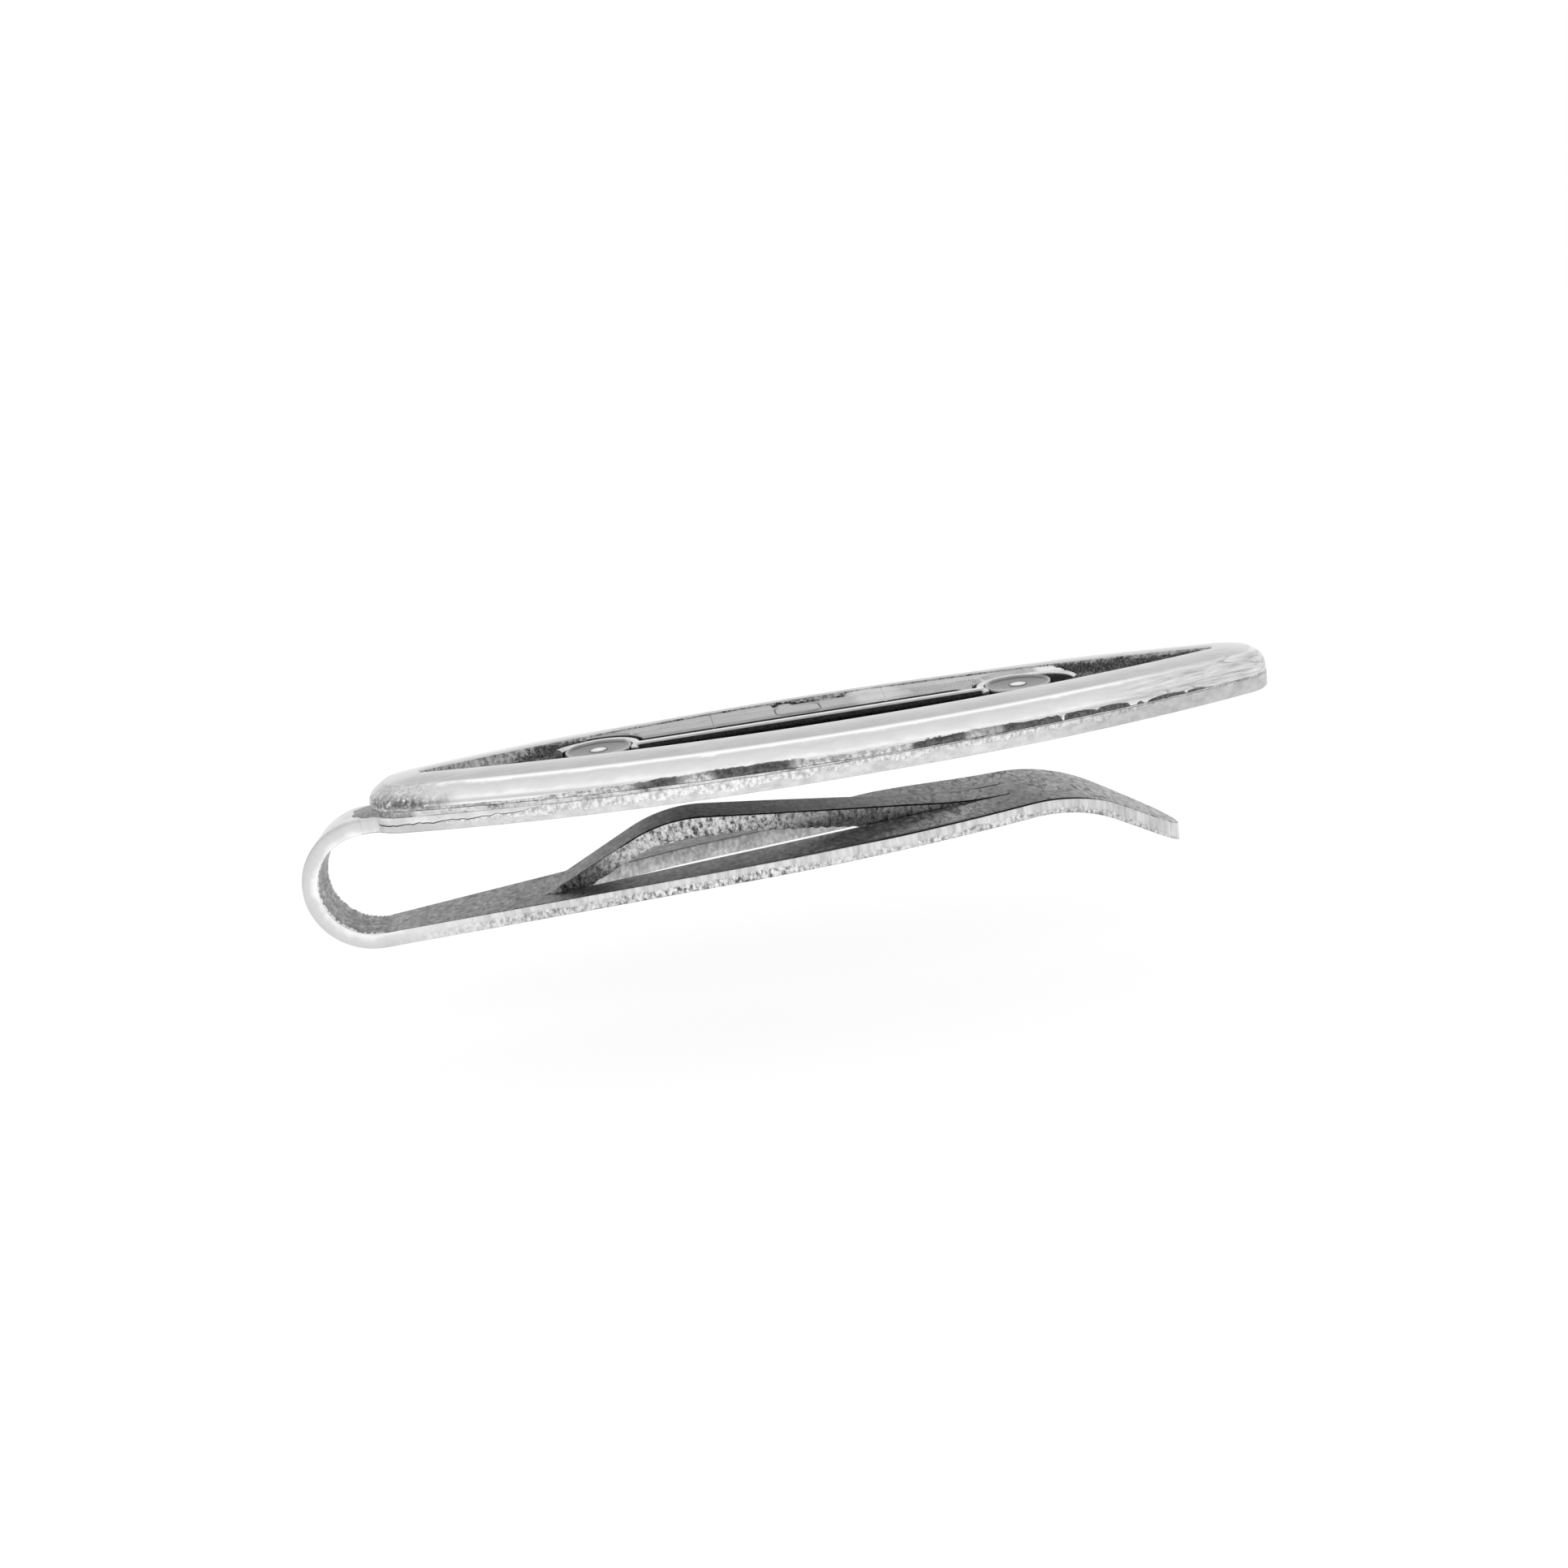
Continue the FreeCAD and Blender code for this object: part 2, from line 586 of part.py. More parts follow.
# The car: its wheels stand just clear of the window's near edge, and its body follows the far one.
wheel_edge = f"({window_width} / 2 - {window_side} + sqrt({window_side}^2 - {drawn('rear_wheel_place')}^2))"
wheel_radius = drawn("wheel_radius")
wheel_y = f"({wheel_radius} + {drawn('wheel_clearance')} - {wheel_edge})"
relief_height = f"({size('recess_depth')} - {size('relief_clearance')})"


def turned(body, name, corners):
    """Turns a straight-sided profile of radius and height round the body's own upright axis."""
    profile = new_sketch(body, f"{name}Profile", "XZ_Plane")
    polygon(profile, corners)
    spin = body.newObject("PartDesign::Revolution", f"{name}Turned")
    spin.Profile = profile
    spin.ReferenceAxis = (profile, ["V_Axis"])


def wheel(label, name, place):
    """Disc with a raised tyre, bevelled inside and out, and a low pointed hub."""
    body = new_body(label, place, wheel_y, floor_height)
    tyre_top = f"({relief_height} - {size('wheel_step')})"
    bevel = f"({drawn('tyre_width')} / 3)"
    shoulder_z = f"({tyre_top} - {bevel})"
    disc_z = f"({shoulder_z} - {size('disc_step')})"
    inner = f"({wheel_radius} - {drawn('tyre_width')})"
    turned(body, name, [
        (ON_AXIS, ON_AXIS),
        (wheel_radius, ON_AXIS),
        (wheel_radius, shoulder_z),
        (f"{wheel_radius} - {bevel}", tyre_top),
        (f"{inner} + {bevel}", tyre_top),
        (inner, shoulder_z),
        (inner, disc_z),
        (drawn("hub_radius"), disc_z),
        (ON_AXIS, f"{disc_z} + {size('hub_height')}"),
    ])
    return body


rear_x, front_x = f"(-{drawn('rear_wheel_place')})", drawn("front_wheel_place")
rear_wheel = wheel("rear_wheel", "RearWheel", rear_x)
front_wheel = wheel("front_wheel", "FrontWheel", front_x)

# Fender strip: an arch over each wheel, joined by the running board.
fender_inner = f"({wheel_radius} + {drawn('fender_clearance')})"
fender_outer = f"({fender_inner} + {drawn('fender_width')})"
board_top = f"({wheel_y} + {drawn('board_rise')})"
board_bottom = f"({board_top} - {drawn('board_depth')})"
skirt_y = f"({wheel_y} - {drawn('fender_skirt')})"
fender = new_body("fender_strip")
arches = new_sketch(fender, "FenderOutline", height=floor_height)


def angle_at(radius, height):
    """Angle above the horizontal at which an arch of one radius meets a height above the hub."""
    return math.degrees(math.asin(reckon(f"({height} - {wheel_y}) / {radius}")))


wheel_y_now, inner_now, outer_now = reckon(wheel_y), reckon(fender_inner), reckon(fender_outer)
rear_hub, front_hub = point(reckon(rear_x), wheel_y_now), point(reckon(front_x), wheel_y_now)
outer_skirt, inner_skirt = angle_at(fender_outer, skirt_y), angle_at(fender_inner, skirt_y)
outer_board, inner_board = angle_at(fender_outer, board_top), angle_at(fender_inner, board_bottom)
rear_out, front_out, rear_in, front_in = [
    arches.addGeometry(arc(rear_hub, outer_now, outer_board, 180 - outer_skirt)),
    arches.addGeometry(arc(front_hub, outer_now, outer_skirt, 180 - outer_board)),
    arches.addGeometry(arc(rear_hub, inner_now, inner_board, 180 - inner_skirt)),
    arches.addGeometry(arc(front_hub, inner_now, inner_skirt, 180 - inner_board)),
]


def join(sketch, first, first_corner, second, second_corner):
    """Straight line between two arc ends."""
    line = sketch.addGeometry(Part.LineSegment(
        sketch.getPoint(first, first_corner), sketch.getPoint(second, second_corner)))
    relate(sketch, "Coincident", line, START, first, first_corner)
    relate(sketch, "Coincident", line, END, second, second_corner)
    return line


board_upper = join(arches, rear_out, START, front_out, END)
board_lower = join(arches, rear_in, START, front_in, END)
rear_skirt = join(arches, rear_out, END, rear_in, END)
front_skirt = join(arches, front_out, START, front_in, START)
for curve, center_x, radius in (
        (rear_out, rear_x, fender_outer), (front_out, front_x, fender_outer),
        (rear_in, rear_x, fender_inner), (front_in, front_x, fender_inner)):
    place_point(arches, curve, CENTER, center_x, wheel_y)
    dimension(arches, "Radius", (curve,), radius)


def level_line(sketch, line, height):
    """Keeps a line horizontal at a height."""
    relate(sketch, "Horizontal", line)
    if reckon(height) < 0:
        dimension(sketch, "DistanceY", (line, START, *ORIGIN), f"-({height})")
    else:
        dimension(sketch, "DistanceY", (*ORIGIN, line, START), height)


level_line(arches, board_upper, board_top)
level_line(arches, board_lower, board_bottom)
level_line(arches, rear_skirt, skirt_y)
level_line(arches, front_skirt, skirt_y)
pad(fender, "FenderBlank", arches, f"{relief_height} - {size('fender_step')}")

# Car body: follows the arches below and the window's far edge above, with a sunk cockpit.
car = new_body("car_body")
car_outline = new_sketch(car, "CarOutline", height=floor_height)
sill_y = f"({board_top} + {drawn('groove_width')})"
arch_radius = f"({fender_outer} + {drawn('groove_width')})"
roof_radius = f"({window_side} - {drawn('body_margin')})"
roof_y = f"({window_width} / 2 - {window_side})"
tail_x = f"({rear_x} - {drawn('tail_length')})"
nose_x = f"({front_x} + {drawn('nose_length')})"
arch_now, roof_now, roof_y_now = reckon(arch_radius), reckon(roof_radius), reckon(roof_y)
sill_angle = math.degrees(math.asin(reckon(f"({sill_y} - {wheel_y}) / {arch_radius}")))
tail_angle = math.degrees(math.acos(reckon(f"-{drawn('tail_length')} / {arch_radius}")))
nose_angle = math.degrees(math.acos(reckon(f"{drawn('nose_length')} / {arch_radius}")))
roof_angles = [math.degrees(math.acos(reckon(x) / roof_now)) for x in (nose_x, tail_x)]
rear_arch = car_outline.addGeometry(arc(rear_hub, arch_now, sill_angle, tail_angle))
front_arch = car_outline.addGeometry(arc(front_hub, arch_now, nose_angle, 180 - sill_angle))
roof = car_outline.addGeometry(arc(point(0, roof_y_now), roof_now, *roof_angles))
sill = join(car_outline, rear_arch, START, front_arch, END)
nose = join(car_outline, front_arch, START, roof, START)
tail = join(car_outline, rear_arch, END, roof, END)
for curve, center_x in ((rear_arch, rear_x), (front_arch, front_x)):
    place_point(car_outline, curve, CENTER, center_x, wheel_y)
    dimension(car_outline, "Radius", (curve,), arch_radius)
relate(car_outline, "PointOnObject", roof, CENTER, Y_AXIS)
dimension(car_outline, "DistanceY", (roof, CENTER, *ORIGIN), f"-{roof_y}")
dimension(car_outline, "Radius", (roof,), roof_radius)
level_line(car_outline, sill, sill_y)
for upright, place in ((nose, nose_x), (tail, tail_x)):
    relate(car_outline, "Vertical", upright)
    if reckon(place) < 0:
        dimension(car_outline, "DistanceX", (upright, START, *ORIGIN), f"-({place})")
    else:
        dimension(car_outline, "DistanceX", (*ORIGIN, upright, START), place)
pad(car, "CarBlank", car_outline, relief_height)
cockpit = new_sketch(car, "Cockpit", height=f"{floor_height} + {relief_height}")
seat_y = f"({window_width} / 2 - {drawn('body_margin')} - {drawn('cockpit_height')})"
polygon(cockpit, [
    (f"-{drawn('cockpit_rear')}", seat_y),
    (drawn("cockpit_front"), seat_y),
    (drawn("cockpit_front"), window_width),
    (f"-{drawn('cockpit_rear')}", window_width),
])
cockpit_cut = pocket(car, "CockpitRecess", cockpit, size("cockpit_depth"))
doc.recompute()
body_round = car.newObject("PartDesign::Chamfer", "BodyRound")
body_top = reckon(f"{floor_height} + {relief_height}")
body_round.Base = (cockpit_cut, edges_of(cockpit_cut, lambda edge: level_at(edge, body_top)))
over_arch = f"({wheel_edge} - {drawn('body_margin')} - {wheel_y} - {arch_radius})"
body_round.setExpression("Size", f"min({size('body_round')}; {size('cockpit_depth')} / 2; {over_arch} / 3)")

# Headlamp: a short bevelled post in front of the nose.
lamp_radius = drawn("lamp_radius")
lamp_x = f"({nose_x} + {drawn('lamp_gap')} + {lamp_radius})"
lamp_y = f"({wheel_y} + {wheel_radius})"
lamp = new_body("headlamp", lamp_x, lamp_y, floor_height)
lamp_top = f"({relief_height} - {size('lamp_step')})"
turned(lamp, "Lamp", [
    (ON_AXIS, ON_AXIS),
    (lamp_radius, ON_AXIS),
    (lamp_radius, f"{lamp_top} - {lamp_radius} / 2"),
    (f"{lamp_radius} / 2", lamp_top),
    (ON_AXIS, lamp_top),
])

doc.recompute()
pieces = [front, solder, leaf, tongue, car, fender, rear_wheel, front_wheel, lamp]
for item in doc.Objects:
    if "Invalid" in item.State or "Error" in item.State:
        raise RuntimeError(f"{item.Name} failed: {item.State}")
    if item.isDerivedFrom("Sketcher::SketchObject") and not item.FullyConstrained:
        raise RuntimeError(f"{item.Name} is not fully constrained")
for body in pieces:
    if body.Shape.isNull() or not body.Shape.isValid() or len(body.Shape.Solids) != 1:
        raise RuntimeError(f"{body.Label} is not one valid solid")

os.makedirs("parts", exist_ok=True)
for body in pieces:
    body.Shape.exportStep(f"parts/{body.Label}.step")
    box = body.Shape.optimalBoundingBox(False)
    print(body.Label, f"volume {body.Shape.Volume:.3f}", f"x {box.XMin:.2f} to {box.XMax:.2f}",
          f"y {box.YMin:.2f} to {box.YMax:.2f}", f"z {box.ZMin:.3f} to {box.ZMax:.3f}")
pivot_x = reckon(f"{bend_x} - {strip_middle} + {shift_x}")
print("pivot", f"{pivot_x:.4f}", f"{reckon(f'{bend_z} + {lift_z}'):.4f}")
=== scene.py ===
import json
import math
import bmesh
import bpy
import numpy as np
from mathutils import Matrix, Vector


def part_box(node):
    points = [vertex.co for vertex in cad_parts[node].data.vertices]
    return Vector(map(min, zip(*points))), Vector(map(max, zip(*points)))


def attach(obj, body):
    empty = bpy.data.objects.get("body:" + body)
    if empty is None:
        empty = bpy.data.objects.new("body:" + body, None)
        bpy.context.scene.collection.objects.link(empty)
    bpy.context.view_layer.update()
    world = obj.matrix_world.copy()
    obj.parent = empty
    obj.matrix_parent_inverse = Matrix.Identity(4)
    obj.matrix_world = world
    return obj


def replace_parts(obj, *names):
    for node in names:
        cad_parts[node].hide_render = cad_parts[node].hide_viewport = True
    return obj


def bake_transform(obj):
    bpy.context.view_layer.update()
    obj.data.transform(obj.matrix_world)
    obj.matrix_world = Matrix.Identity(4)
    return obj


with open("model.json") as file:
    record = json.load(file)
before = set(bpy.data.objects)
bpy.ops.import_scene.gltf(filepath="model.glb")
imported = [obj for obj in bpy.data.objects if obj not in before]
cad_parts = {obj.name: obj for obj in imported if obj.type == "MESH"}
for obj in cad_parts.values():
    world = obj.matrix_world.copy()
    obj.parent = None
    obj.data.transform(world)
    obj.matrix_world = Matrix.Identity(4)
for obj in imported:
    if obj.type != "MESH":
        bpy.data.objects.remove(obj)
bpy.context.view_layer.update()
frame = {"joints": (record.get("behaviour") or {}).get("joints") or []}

# Front plate: an oval of polished silver with a sunk window, oxidised dark. Its top falls away from the
# window to a crease with a painted highlight, then rounds over to a side that ends on the soldered seam.
MILLIMETRE = 0.001


def box_of(node):
    """Lowest and highest corner of a node in millimetres."""
    return tuple(np.array(corner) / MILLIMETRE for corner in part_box(node))


plate_low, plate_high = box_of("front_plate")
plate_x = (plate_low[0] + plate_high[0]) / 2
plate_half_length = (plate_high[0] - plate_low[0]) / 2
plate_half_width = plate_high[1]
plate_end_radius = 2.65
front_height = plate_high[2] - plate_low[2]
rim_side, rim_end, window_end_radius = 2.75, 2.65, 0.4
recess_depth = 0.95
crease_inset, crease_height = 0.855, 1.132
land_inner = rim_side - 0.07


def oval(half_length, half_width, end_radius, side_count=240, end_count=44):
    """Closed loop of an oval: two long arcs, each tangent to a small arc at both ends.

    The small circles sit a run from the middle, and the long radius that touches them from outside is
    (run^2 + half width^2 - end radius^2) / (2 (half width - end radius)).
    """
    run = half_length - end_radius
    side = (run**2 + half_width**2 - end_radius**2) / (2 * (half_width - end_radius))
    offset = side - half_width
    reach = np.arctan2(offset, run)
    end = np.linspace(-reach, reach, end_count, endpoint=False)
    side_sheen_and_wear = np.linspace(reach, np.pi - reach, side_count, endpoint=False)
    x = np.concatenate([run + end_radius * np.cos(end), side * np.cos(side_sheen_and_wear)])
    y = np.concatenate([end_radius * np.sin(end), side * np.sin(side_sheen_and_wear) - offset])
    half = np.stack([x, y], -1)
    return np.concatenate([half, -half])


def bezier(corners, count):
    """Cubic curve on four control points, from the first to the last."""
    t = np.linspace(0, 1, count)[:, None]
    start, first, second, end = np.array(corners, float)
    return (1 - t)**3 * start + 3 * (1 - t)**2 * t * first + 3 * (1 - t) * t**2 * second + t**3 * end


def smooth(value, low, high):
    """Smooth step from 0 at low to 1 at high: 3 s^2 - 2 s^3 of the share s between them."""
    share = np.clip((value - low) / (high - low), 0, 1)
    return share**2 * (3 - 2 * share)


def span(value, start, full, last, end):
    """Smooth hump: 0 up to start, 1 from full to last, and 0 again past end."""
    return smooth(value, start, full) * (1 - smooth(value, last, end))


def ripple(x, y, wavelength, seed):
    """Smooth waviness from about -1 to 1: the mean of seeded plane waves of about one wavelength."""
    draw = np.random.default_rng(seed)
    heading, phase = draw.uniform(0, 2 * np.pi, (2, 9))
    pitch = 2 * np.pi / (wavelength * draw.uniform(0.6, 1.5, 9))
    along = np.multiply.outer(x, np.cos(heading)) + np.multiply.outer(y, np.sin(heading))
    return np.clip(np.mean(np.sin(along * pitch + phase), -1) * 2.2, -1, 1)


def grid_faces(rows, columns, round_way):
    """Quads between neighbouring rows and columns, closed on the first column where it goes round."""
    row, column = np.indices((rows - 1, columns if round_way else columns - 1))
    after = (column + 1) % columns
    corners = [row * columns + column, row * columns + after,
               (row + 1) * columns + after, (row + 1) * columns + column]
    return np.stack(corners, -1).reshape(-1, 4)


def piece(name, points, faces, marks, finish, sharp=38):
    """Object from points in millimetres and faces, with named marks on its points or its faces.

    Points that fall together are merged, faces are turned outwards and edges over an angle stay sharp.
    """
    mesh = bpy.data.meshes.new(name)
    mesh.from_pydata((points * MILLIMETRE).tolist(), [], faces.tolist())
    for mark, values in marks.items():
        domain = "POINT" if len(values) == len(points) else "FACE"
        mesh.attributes.new(mark, "FLOAT", domain).data.foreach_set("value", values.astype(np.float32))
    shell = bmesh.new()
    shell.from_mesh(mesh)
    bmesh.ops.remove_doubles(shell, verts=shell.verts, dist=1e-8)
    bmesh.ops.recalc_face_normals(shell, faces=shell.faces)
    shell.to_mesh(mesh)
    shell.free()
    mesh.shade_smooth()
    mesh.set_sharp_from_angle(angle=math.radians(sharp))
    mesh.materials.append(finish)
    made = bpy.data.objects.new(name, mesh)
    bpy.context.scene.collection.objects.link(made)
    return made


class Field:
    """A socket of a material's nodes that can be written in sums and products."""

    def __init__(self, tree, socket):
        self.tree, self.socket = tree, socket

    def node(self, kind, settings=None, inputs=None, output=0):
        """New node of a kind: its settings first, then the values or fields of its sockets."""
        made = self.tree.nodes.new(kind)
        for key, value in (settings or {}).items():
            if key == "stops":
                ramp = made.color_ramp.elements
                while len(ramp) < len(value):
                    ramp.new(1)
                for element, (place, shade) in zip(ramp, value):
                    element.position, element.color = place, (shade, shade, shade, 1)
            else:
                setattr(made, key, value)
        for key, value in (inputs or {}).items():
            if isinstance(value, Field):
                self.tree.links.new(value.socket, made.inputs[key])
            else:
                made.inputs[key].default_value = value
        return Field(self.tree, made.outputs[output] if output is not None else None)

    def math(self, operation, first, second):
        """One operation on two numbers or fields."""
        return self.node("ShaderNodeMath", {"operation": operation}, {0: first, 1: second})

    def __add__(self, other):
        return self.math("ADD", self, other)

    def __sub__(self, other):
        return self.math("SUBTRACT", self, other)

    def __rsub__(self, other):
        return self.math("SUBTRACT", other, self)

    def __mul__(self, other):
        return self.math("MULTIPLY", self, other)

    __radd__, __rmul__ = __add__, __mul__

    def __abs__(self):
        return self.math("ABSOLUTE", self, 0)

    def mark(self, name):
        """Value of a mark that the mesh carries."""
        return self.node("ShaderNodeAttribute", {"attribute_name": name}, output=2)

    def part(self, axis):
        """One part of this vector: 0 is x, 1 is y and 2 is z."""
        return self.node("ShaderNodeSeparateXYZ", None, {0: self}, axis)

    def stretch(self, x, y, z):
        """This vector with each part scaled."""
        return self.node("ShaderNodeVectorMath", {"operation": "MULTIPLY"}, {0: self, 1: (x, y, z)})

    def noise(self, scale, detail=3.0, rough=0.55):
        """Cloudy value from 0 to 1 at so many blotches per millimetre."""
        inputs = {"Vector": self, "Scale": scale, "Detail": detail, "Roughness": rough}
        return self.node("ShaderNodeTexNoise", None, inputs)

    def step(self, low, high):
        """Smooth step from 0 at low to 1 at high."""
        inputs = {"Value": self, "From Min": low, "From Max": high}
        return self.node("ShaderNodeMapRange", {"interpolation_type": "SMOOTHSTEP"}, inputs)

    def grey(self, *stops):
        """Grey that a ramp gives for this value."""
        return self.node("ShaderNodeValToRGB", {"stops": stops}, {"Fac": self})

    def blend(self, first, second):
        """Mix of two colours by this value."""
        return self.node("ShaderNodeMix", {"data_type": "RGBA"}, {0: self, 6: first, 7: second}, 2)

    def bump(self, strength, distance):
        """Normal that this height gives, with its reach in metres."""
        inputs = {"Height": self, "Strength": strength, "Distance": distance}
        return self.node("ShaderNodeBump", None, inputs)


def grey(value):
    """Neutral colour of one brightness."""
    return (value, value, value, 1)


def metal(name):
    """New metal: its material, its shader and its places in millimetres."""
    material = bpy.data.materials.new(name)
    material.use_nodes = True
    shader = material.node_tree.nodes["Principled BSDF"]
    shader.inputs["Metallic"].default_value = 1
    place = Field(material.node_tree, None).node("ShaderNodeTexCoord", output=3)
    return material, shader, place.stretch(1 / MILLIMETRE, 1 / MILLIMETRE, 1 / MILLIMETRE)


def coat(shader, **sockets):
    """Links fields to the shader's sockets, by names with underlines for spaces."""
    for name, field in sockets.items():
        field.tree.links.new(field.socket, shader.inputs[name.replace("_", " ")])


def polished_silver():
    """Polished silver with fine scuffs, a dark grainy window and a dark band just above the seam, partly
    residue and partly painted dark reflection.

    The land round the window is painted greyer than the side, and the side lighter and darker by its
    height, as painted reflection. A painted white highlight runs along the near crease and a painted grey
    shade along the far one. The end by the opening is scratched from handling, and the end by the bend is
    rough and sparkling from the torch.
    """
    material, shader, place = metal("polished_silver")
    recess, land, rise, crease = (place.mark(mark) for mark in ("recess", "land", "rise", "crease"))
    stain, burnt, worn, verge = (place.mark(mark) for mark in ("stain", "burnt", "worn", "verge"))
    cloud = place.noise(0.6)
    scuff = place.stretch(0.3, 2.4, 2.4).noise(2.0, 5.0, 0.65)
    blotch = place.stretch(0.45, 1.0, 1.0).noise(1.6, 6.0, 0.62)
    mottle = place.noise(5.0, 4.0, 0.6)
    scratch = place.stretch(0.22, 0.8, 5.0).noise(1.8, 6.0, 0.7)
    gouge = abs(place.stretch(0.35, 0.6, 1.6).noise(0.9, 1.0, 0.5) - 0.5).step(0.006, 0.03)
    gouge = 1 - (1 - gouge) * cloud.step(0.5, 0.6)
    along = place.part(0)
    handled = along.step(plate_x + 11.5, plate_x + 17.0)
    torched = 1 - (along + blotch * 3.0).step(plate_x - 19.0, plate_x - 16.5)
    # Painted reflection: the side is painted lighter and darker by its height; the scratches and gouges at
    # the open end are wear.
    side_sheen_and_wear = (rise + (blotch - 0.5) * 0.5).grey(
        (0.1, 0.93), (0.4, 0.95), (0.55, 0.78), (0.86, 0.66), (0.94, 0.72), (0.985, 0.98))
    side_sheen_and_wear = handled.blend(side_sheen_and_wear, scratch.grey((0.36, 0.46), (0.45, 0.64), (0.56, 0.74), (0.66, 0.86)))
    side_sheen_and_wear = (handled * (1 - gouge)).blend(side_sheen_and_wear, grey(0.42))
    torch = mottle.grey((0.36, 0.14), (0.48, 0.26), (0.58, 0.4), (0.64, 0.95))
    side_sheen_and_wear = torched.blend(side_sheen_and_wear, mottle.grey((0.36, 0.5), (0.62, 0.7)))
    side_sheen_and_wear = (torched * (1 - (rise + blotch * 0.4).step(0.6, 0.95))).blend(side_sheen_and_wear, torch)
    # Painted reflection: the land is painted greyer than the side.
    bright = land.blend(side_sheen_and_wear, (cloud * 0.5 + scuff * 0.5).grey((0.3, 0.57), (0.5, 0.64), (0.7, 0.71)))
    # Painted highlight: the near crease is painted white, less so at the scratched end.
    bright = (crease * (1 - handled * 0.6)).blend(bright, grey(1))
    # Painted shade: a dark grey line along the far crease, with less metal shine.
    bright = verge.blend(bright, grey(0.22))
    # The band above the seam is partly residue and partly painted dark reflection.
    residue_and_shade_share = (stain + (blotch - 0.5) * 0.8 + (mottle - 0.5) * 0.3).step(0.32, 0.44)
    dark = (burnt + (mottle - 0.5) * 0.3 + (blotch - 0.5) * 0.6).step(0.4, 0.7)
    light_residue_and_shade = mottle.grey((0.36, 0.3), (0.5, 0.56), (0.62, 0.85))
    residue_and_shade_colour = dark.blend(light_residue_and_shade, mottle.grey((0.36, 0.06), (0.62, 0.17)))
    grain = place.noise(8.0, 5.0, 0.7)
    faded = abs(along - float(plate_x)).step(10.0, 13.0)
    oxide = faded.blend(grain.grey((0.36, 0.02), (0.52, 0.06), (0.66, 0.18)),
                        grain.grey((0.36, 0.07), (0.5, 0.18), (0.64, 0.42)))
    bare = recess * (worn + (blotch - 0.5) * 1.1 + (grain - 0.5) * 0.6).step(0.42, 0.56)
    oxide = bare.blend(oxide, mottle.grey((0.38, 0.3), (0.5, 0.6), (0.62, 0.85)))
    color = recess.step(0.3, 0.8).blend(residue_and_shade_share.blend(bright, residue_and_shade_colour), oxide)
    roughness = 0.12 + scuff * 0.1 + recess * 0.36 + residue_and_shade_share * 0.15
    height = scuff * 0.3 + handled * (scratch * 1.4 + gouge * 0.5) + recess * grain * 2.0
    height = height + residue_and_shade_share * mottle * 1.2 + torched * (1 - land) * mottle * 1.2
    coat(shader, Base_Color=color, Roughness=roughness, Metallic=1 - bare * 0.6 - verge * 0.9,
         Normal=height.bump(0.5, 0.00003))
    return material


silver_front = polished_silver()
outline = oval(plate_half_length, plate_half_width, plate_end_radius)
window = oval(plate_half_length - rim_end, plate_half_width - rim_side, window_end_radius)
floor_height = front_height - recess_depth
rim_rows = np.concatenate([
    [(0.1, 0), (0.03, 0.01), (0.008, 0.035)],
    bezier([(0.0, 0.1), (0.0, 0.72), (0.44, 0.9), (crease_inset - 0.03, crease_height - 0.012)], 18),
    bezier([(crease_inset + 0.03, crease_height + 0.006), (1.45, 1.24), (2.1, front_height),
            (land_inner, front_height)], 12),
    [(rim_side - 0.02, front_height - 0.012), (rim_side, front_height - 0.05)],
    [(rim_side + 0.005, front_height - 0.1), (rim_side + 0.02, floor_height + 0.3),
     (rim_side + 0.03, floor_height + 0.05), (rim_side + 0.08, floor_height)],
])
side_share = np.clip(1 - rim_rows[:, :1] / crease_inset, 0, 1)
along_plate = outline[:, 0] / plate_half_length
handled_end, blunt_end = smooth(along_plate, 0.6, 0.95), smooth(along_plate, 0.86, 0.97)
dents = 0.012 * (0.5 + 0.5 * ripple(outline[:, 0], outline[:, 1], 5.0, 3))
dents = dents + handled_end * 0.05 * (0.5 + 0.5 * ripple(outline[:, 0], outline[:, 1], 1.4, 4))
inset = rim_rows[:, :1] * (1 - 0.3 * blunt_end * (1 - rim_rows[:, :1] / rim_side))
inward = (inset + side_share * dents) / rim_side
rim = outline * (1 - inward)[..., None] + window * inward[..., None]
up_side = rim_rows[:, 1] / crease_height
down_land = np.clip((land_inner - rim_rows[:, 0]) / (land_inner - crease_inset), 0, 1)
steeper = np.where(rim_rows[:, 0] < crease_inset, up_side, down_land)[:, None]
far_drop = 0.2 * smooth(outline[:, 1], 0.5, 3.0) * (1 - smooth(np.abs(outline[:, 0]), 6.0, 15.0))
rim_height = rim_rows[:, 1:] - steeper * far_drop


def to_middle(loop, shares):
    """Loops that shrink onto the long middle line: x by a hair, y by each share."""
    shares = np.array(shares)[:, None, None]
    return loop * np.concatenate([1 - 0.02 * shares, 1 - shares], -1)


plan = np.concatenate([to_middle(rim[0], [1, 0.5]), rim, to_middle(rim[-1], [0.25, 0.5, 0.75, 1])])
height = np.concatenate([np.zeros((2, len(outline))), rim_height, np.full((4, len(outline)), floor_height)])
plate_points = np.concatenate([plan + (plate_x, 0), (height + plate_low[2])[..., None]], -1)


def by_row(values):
    """One value for each row of the plate, at all its points."""
    return np.repeat(np.array(values, float), len(outline))


recess_mark = by_row([0] * (len(rim_rows) - 2) + [1] * 8)
row_inset = np.concatenate([[0, 0], rim_rows[:, 0], [9] * 4])
land_mark = by_row(smooth(row_inset, crease_inset + 0.05, crease_inset + 0.12))
far_half = smooth(plate_points[..., 1], 0.2, 1.0).ravel()
past_torch = smooth(plate_points[..., 0], plate_x - 20.5, plate_x - 15.0).ravel()
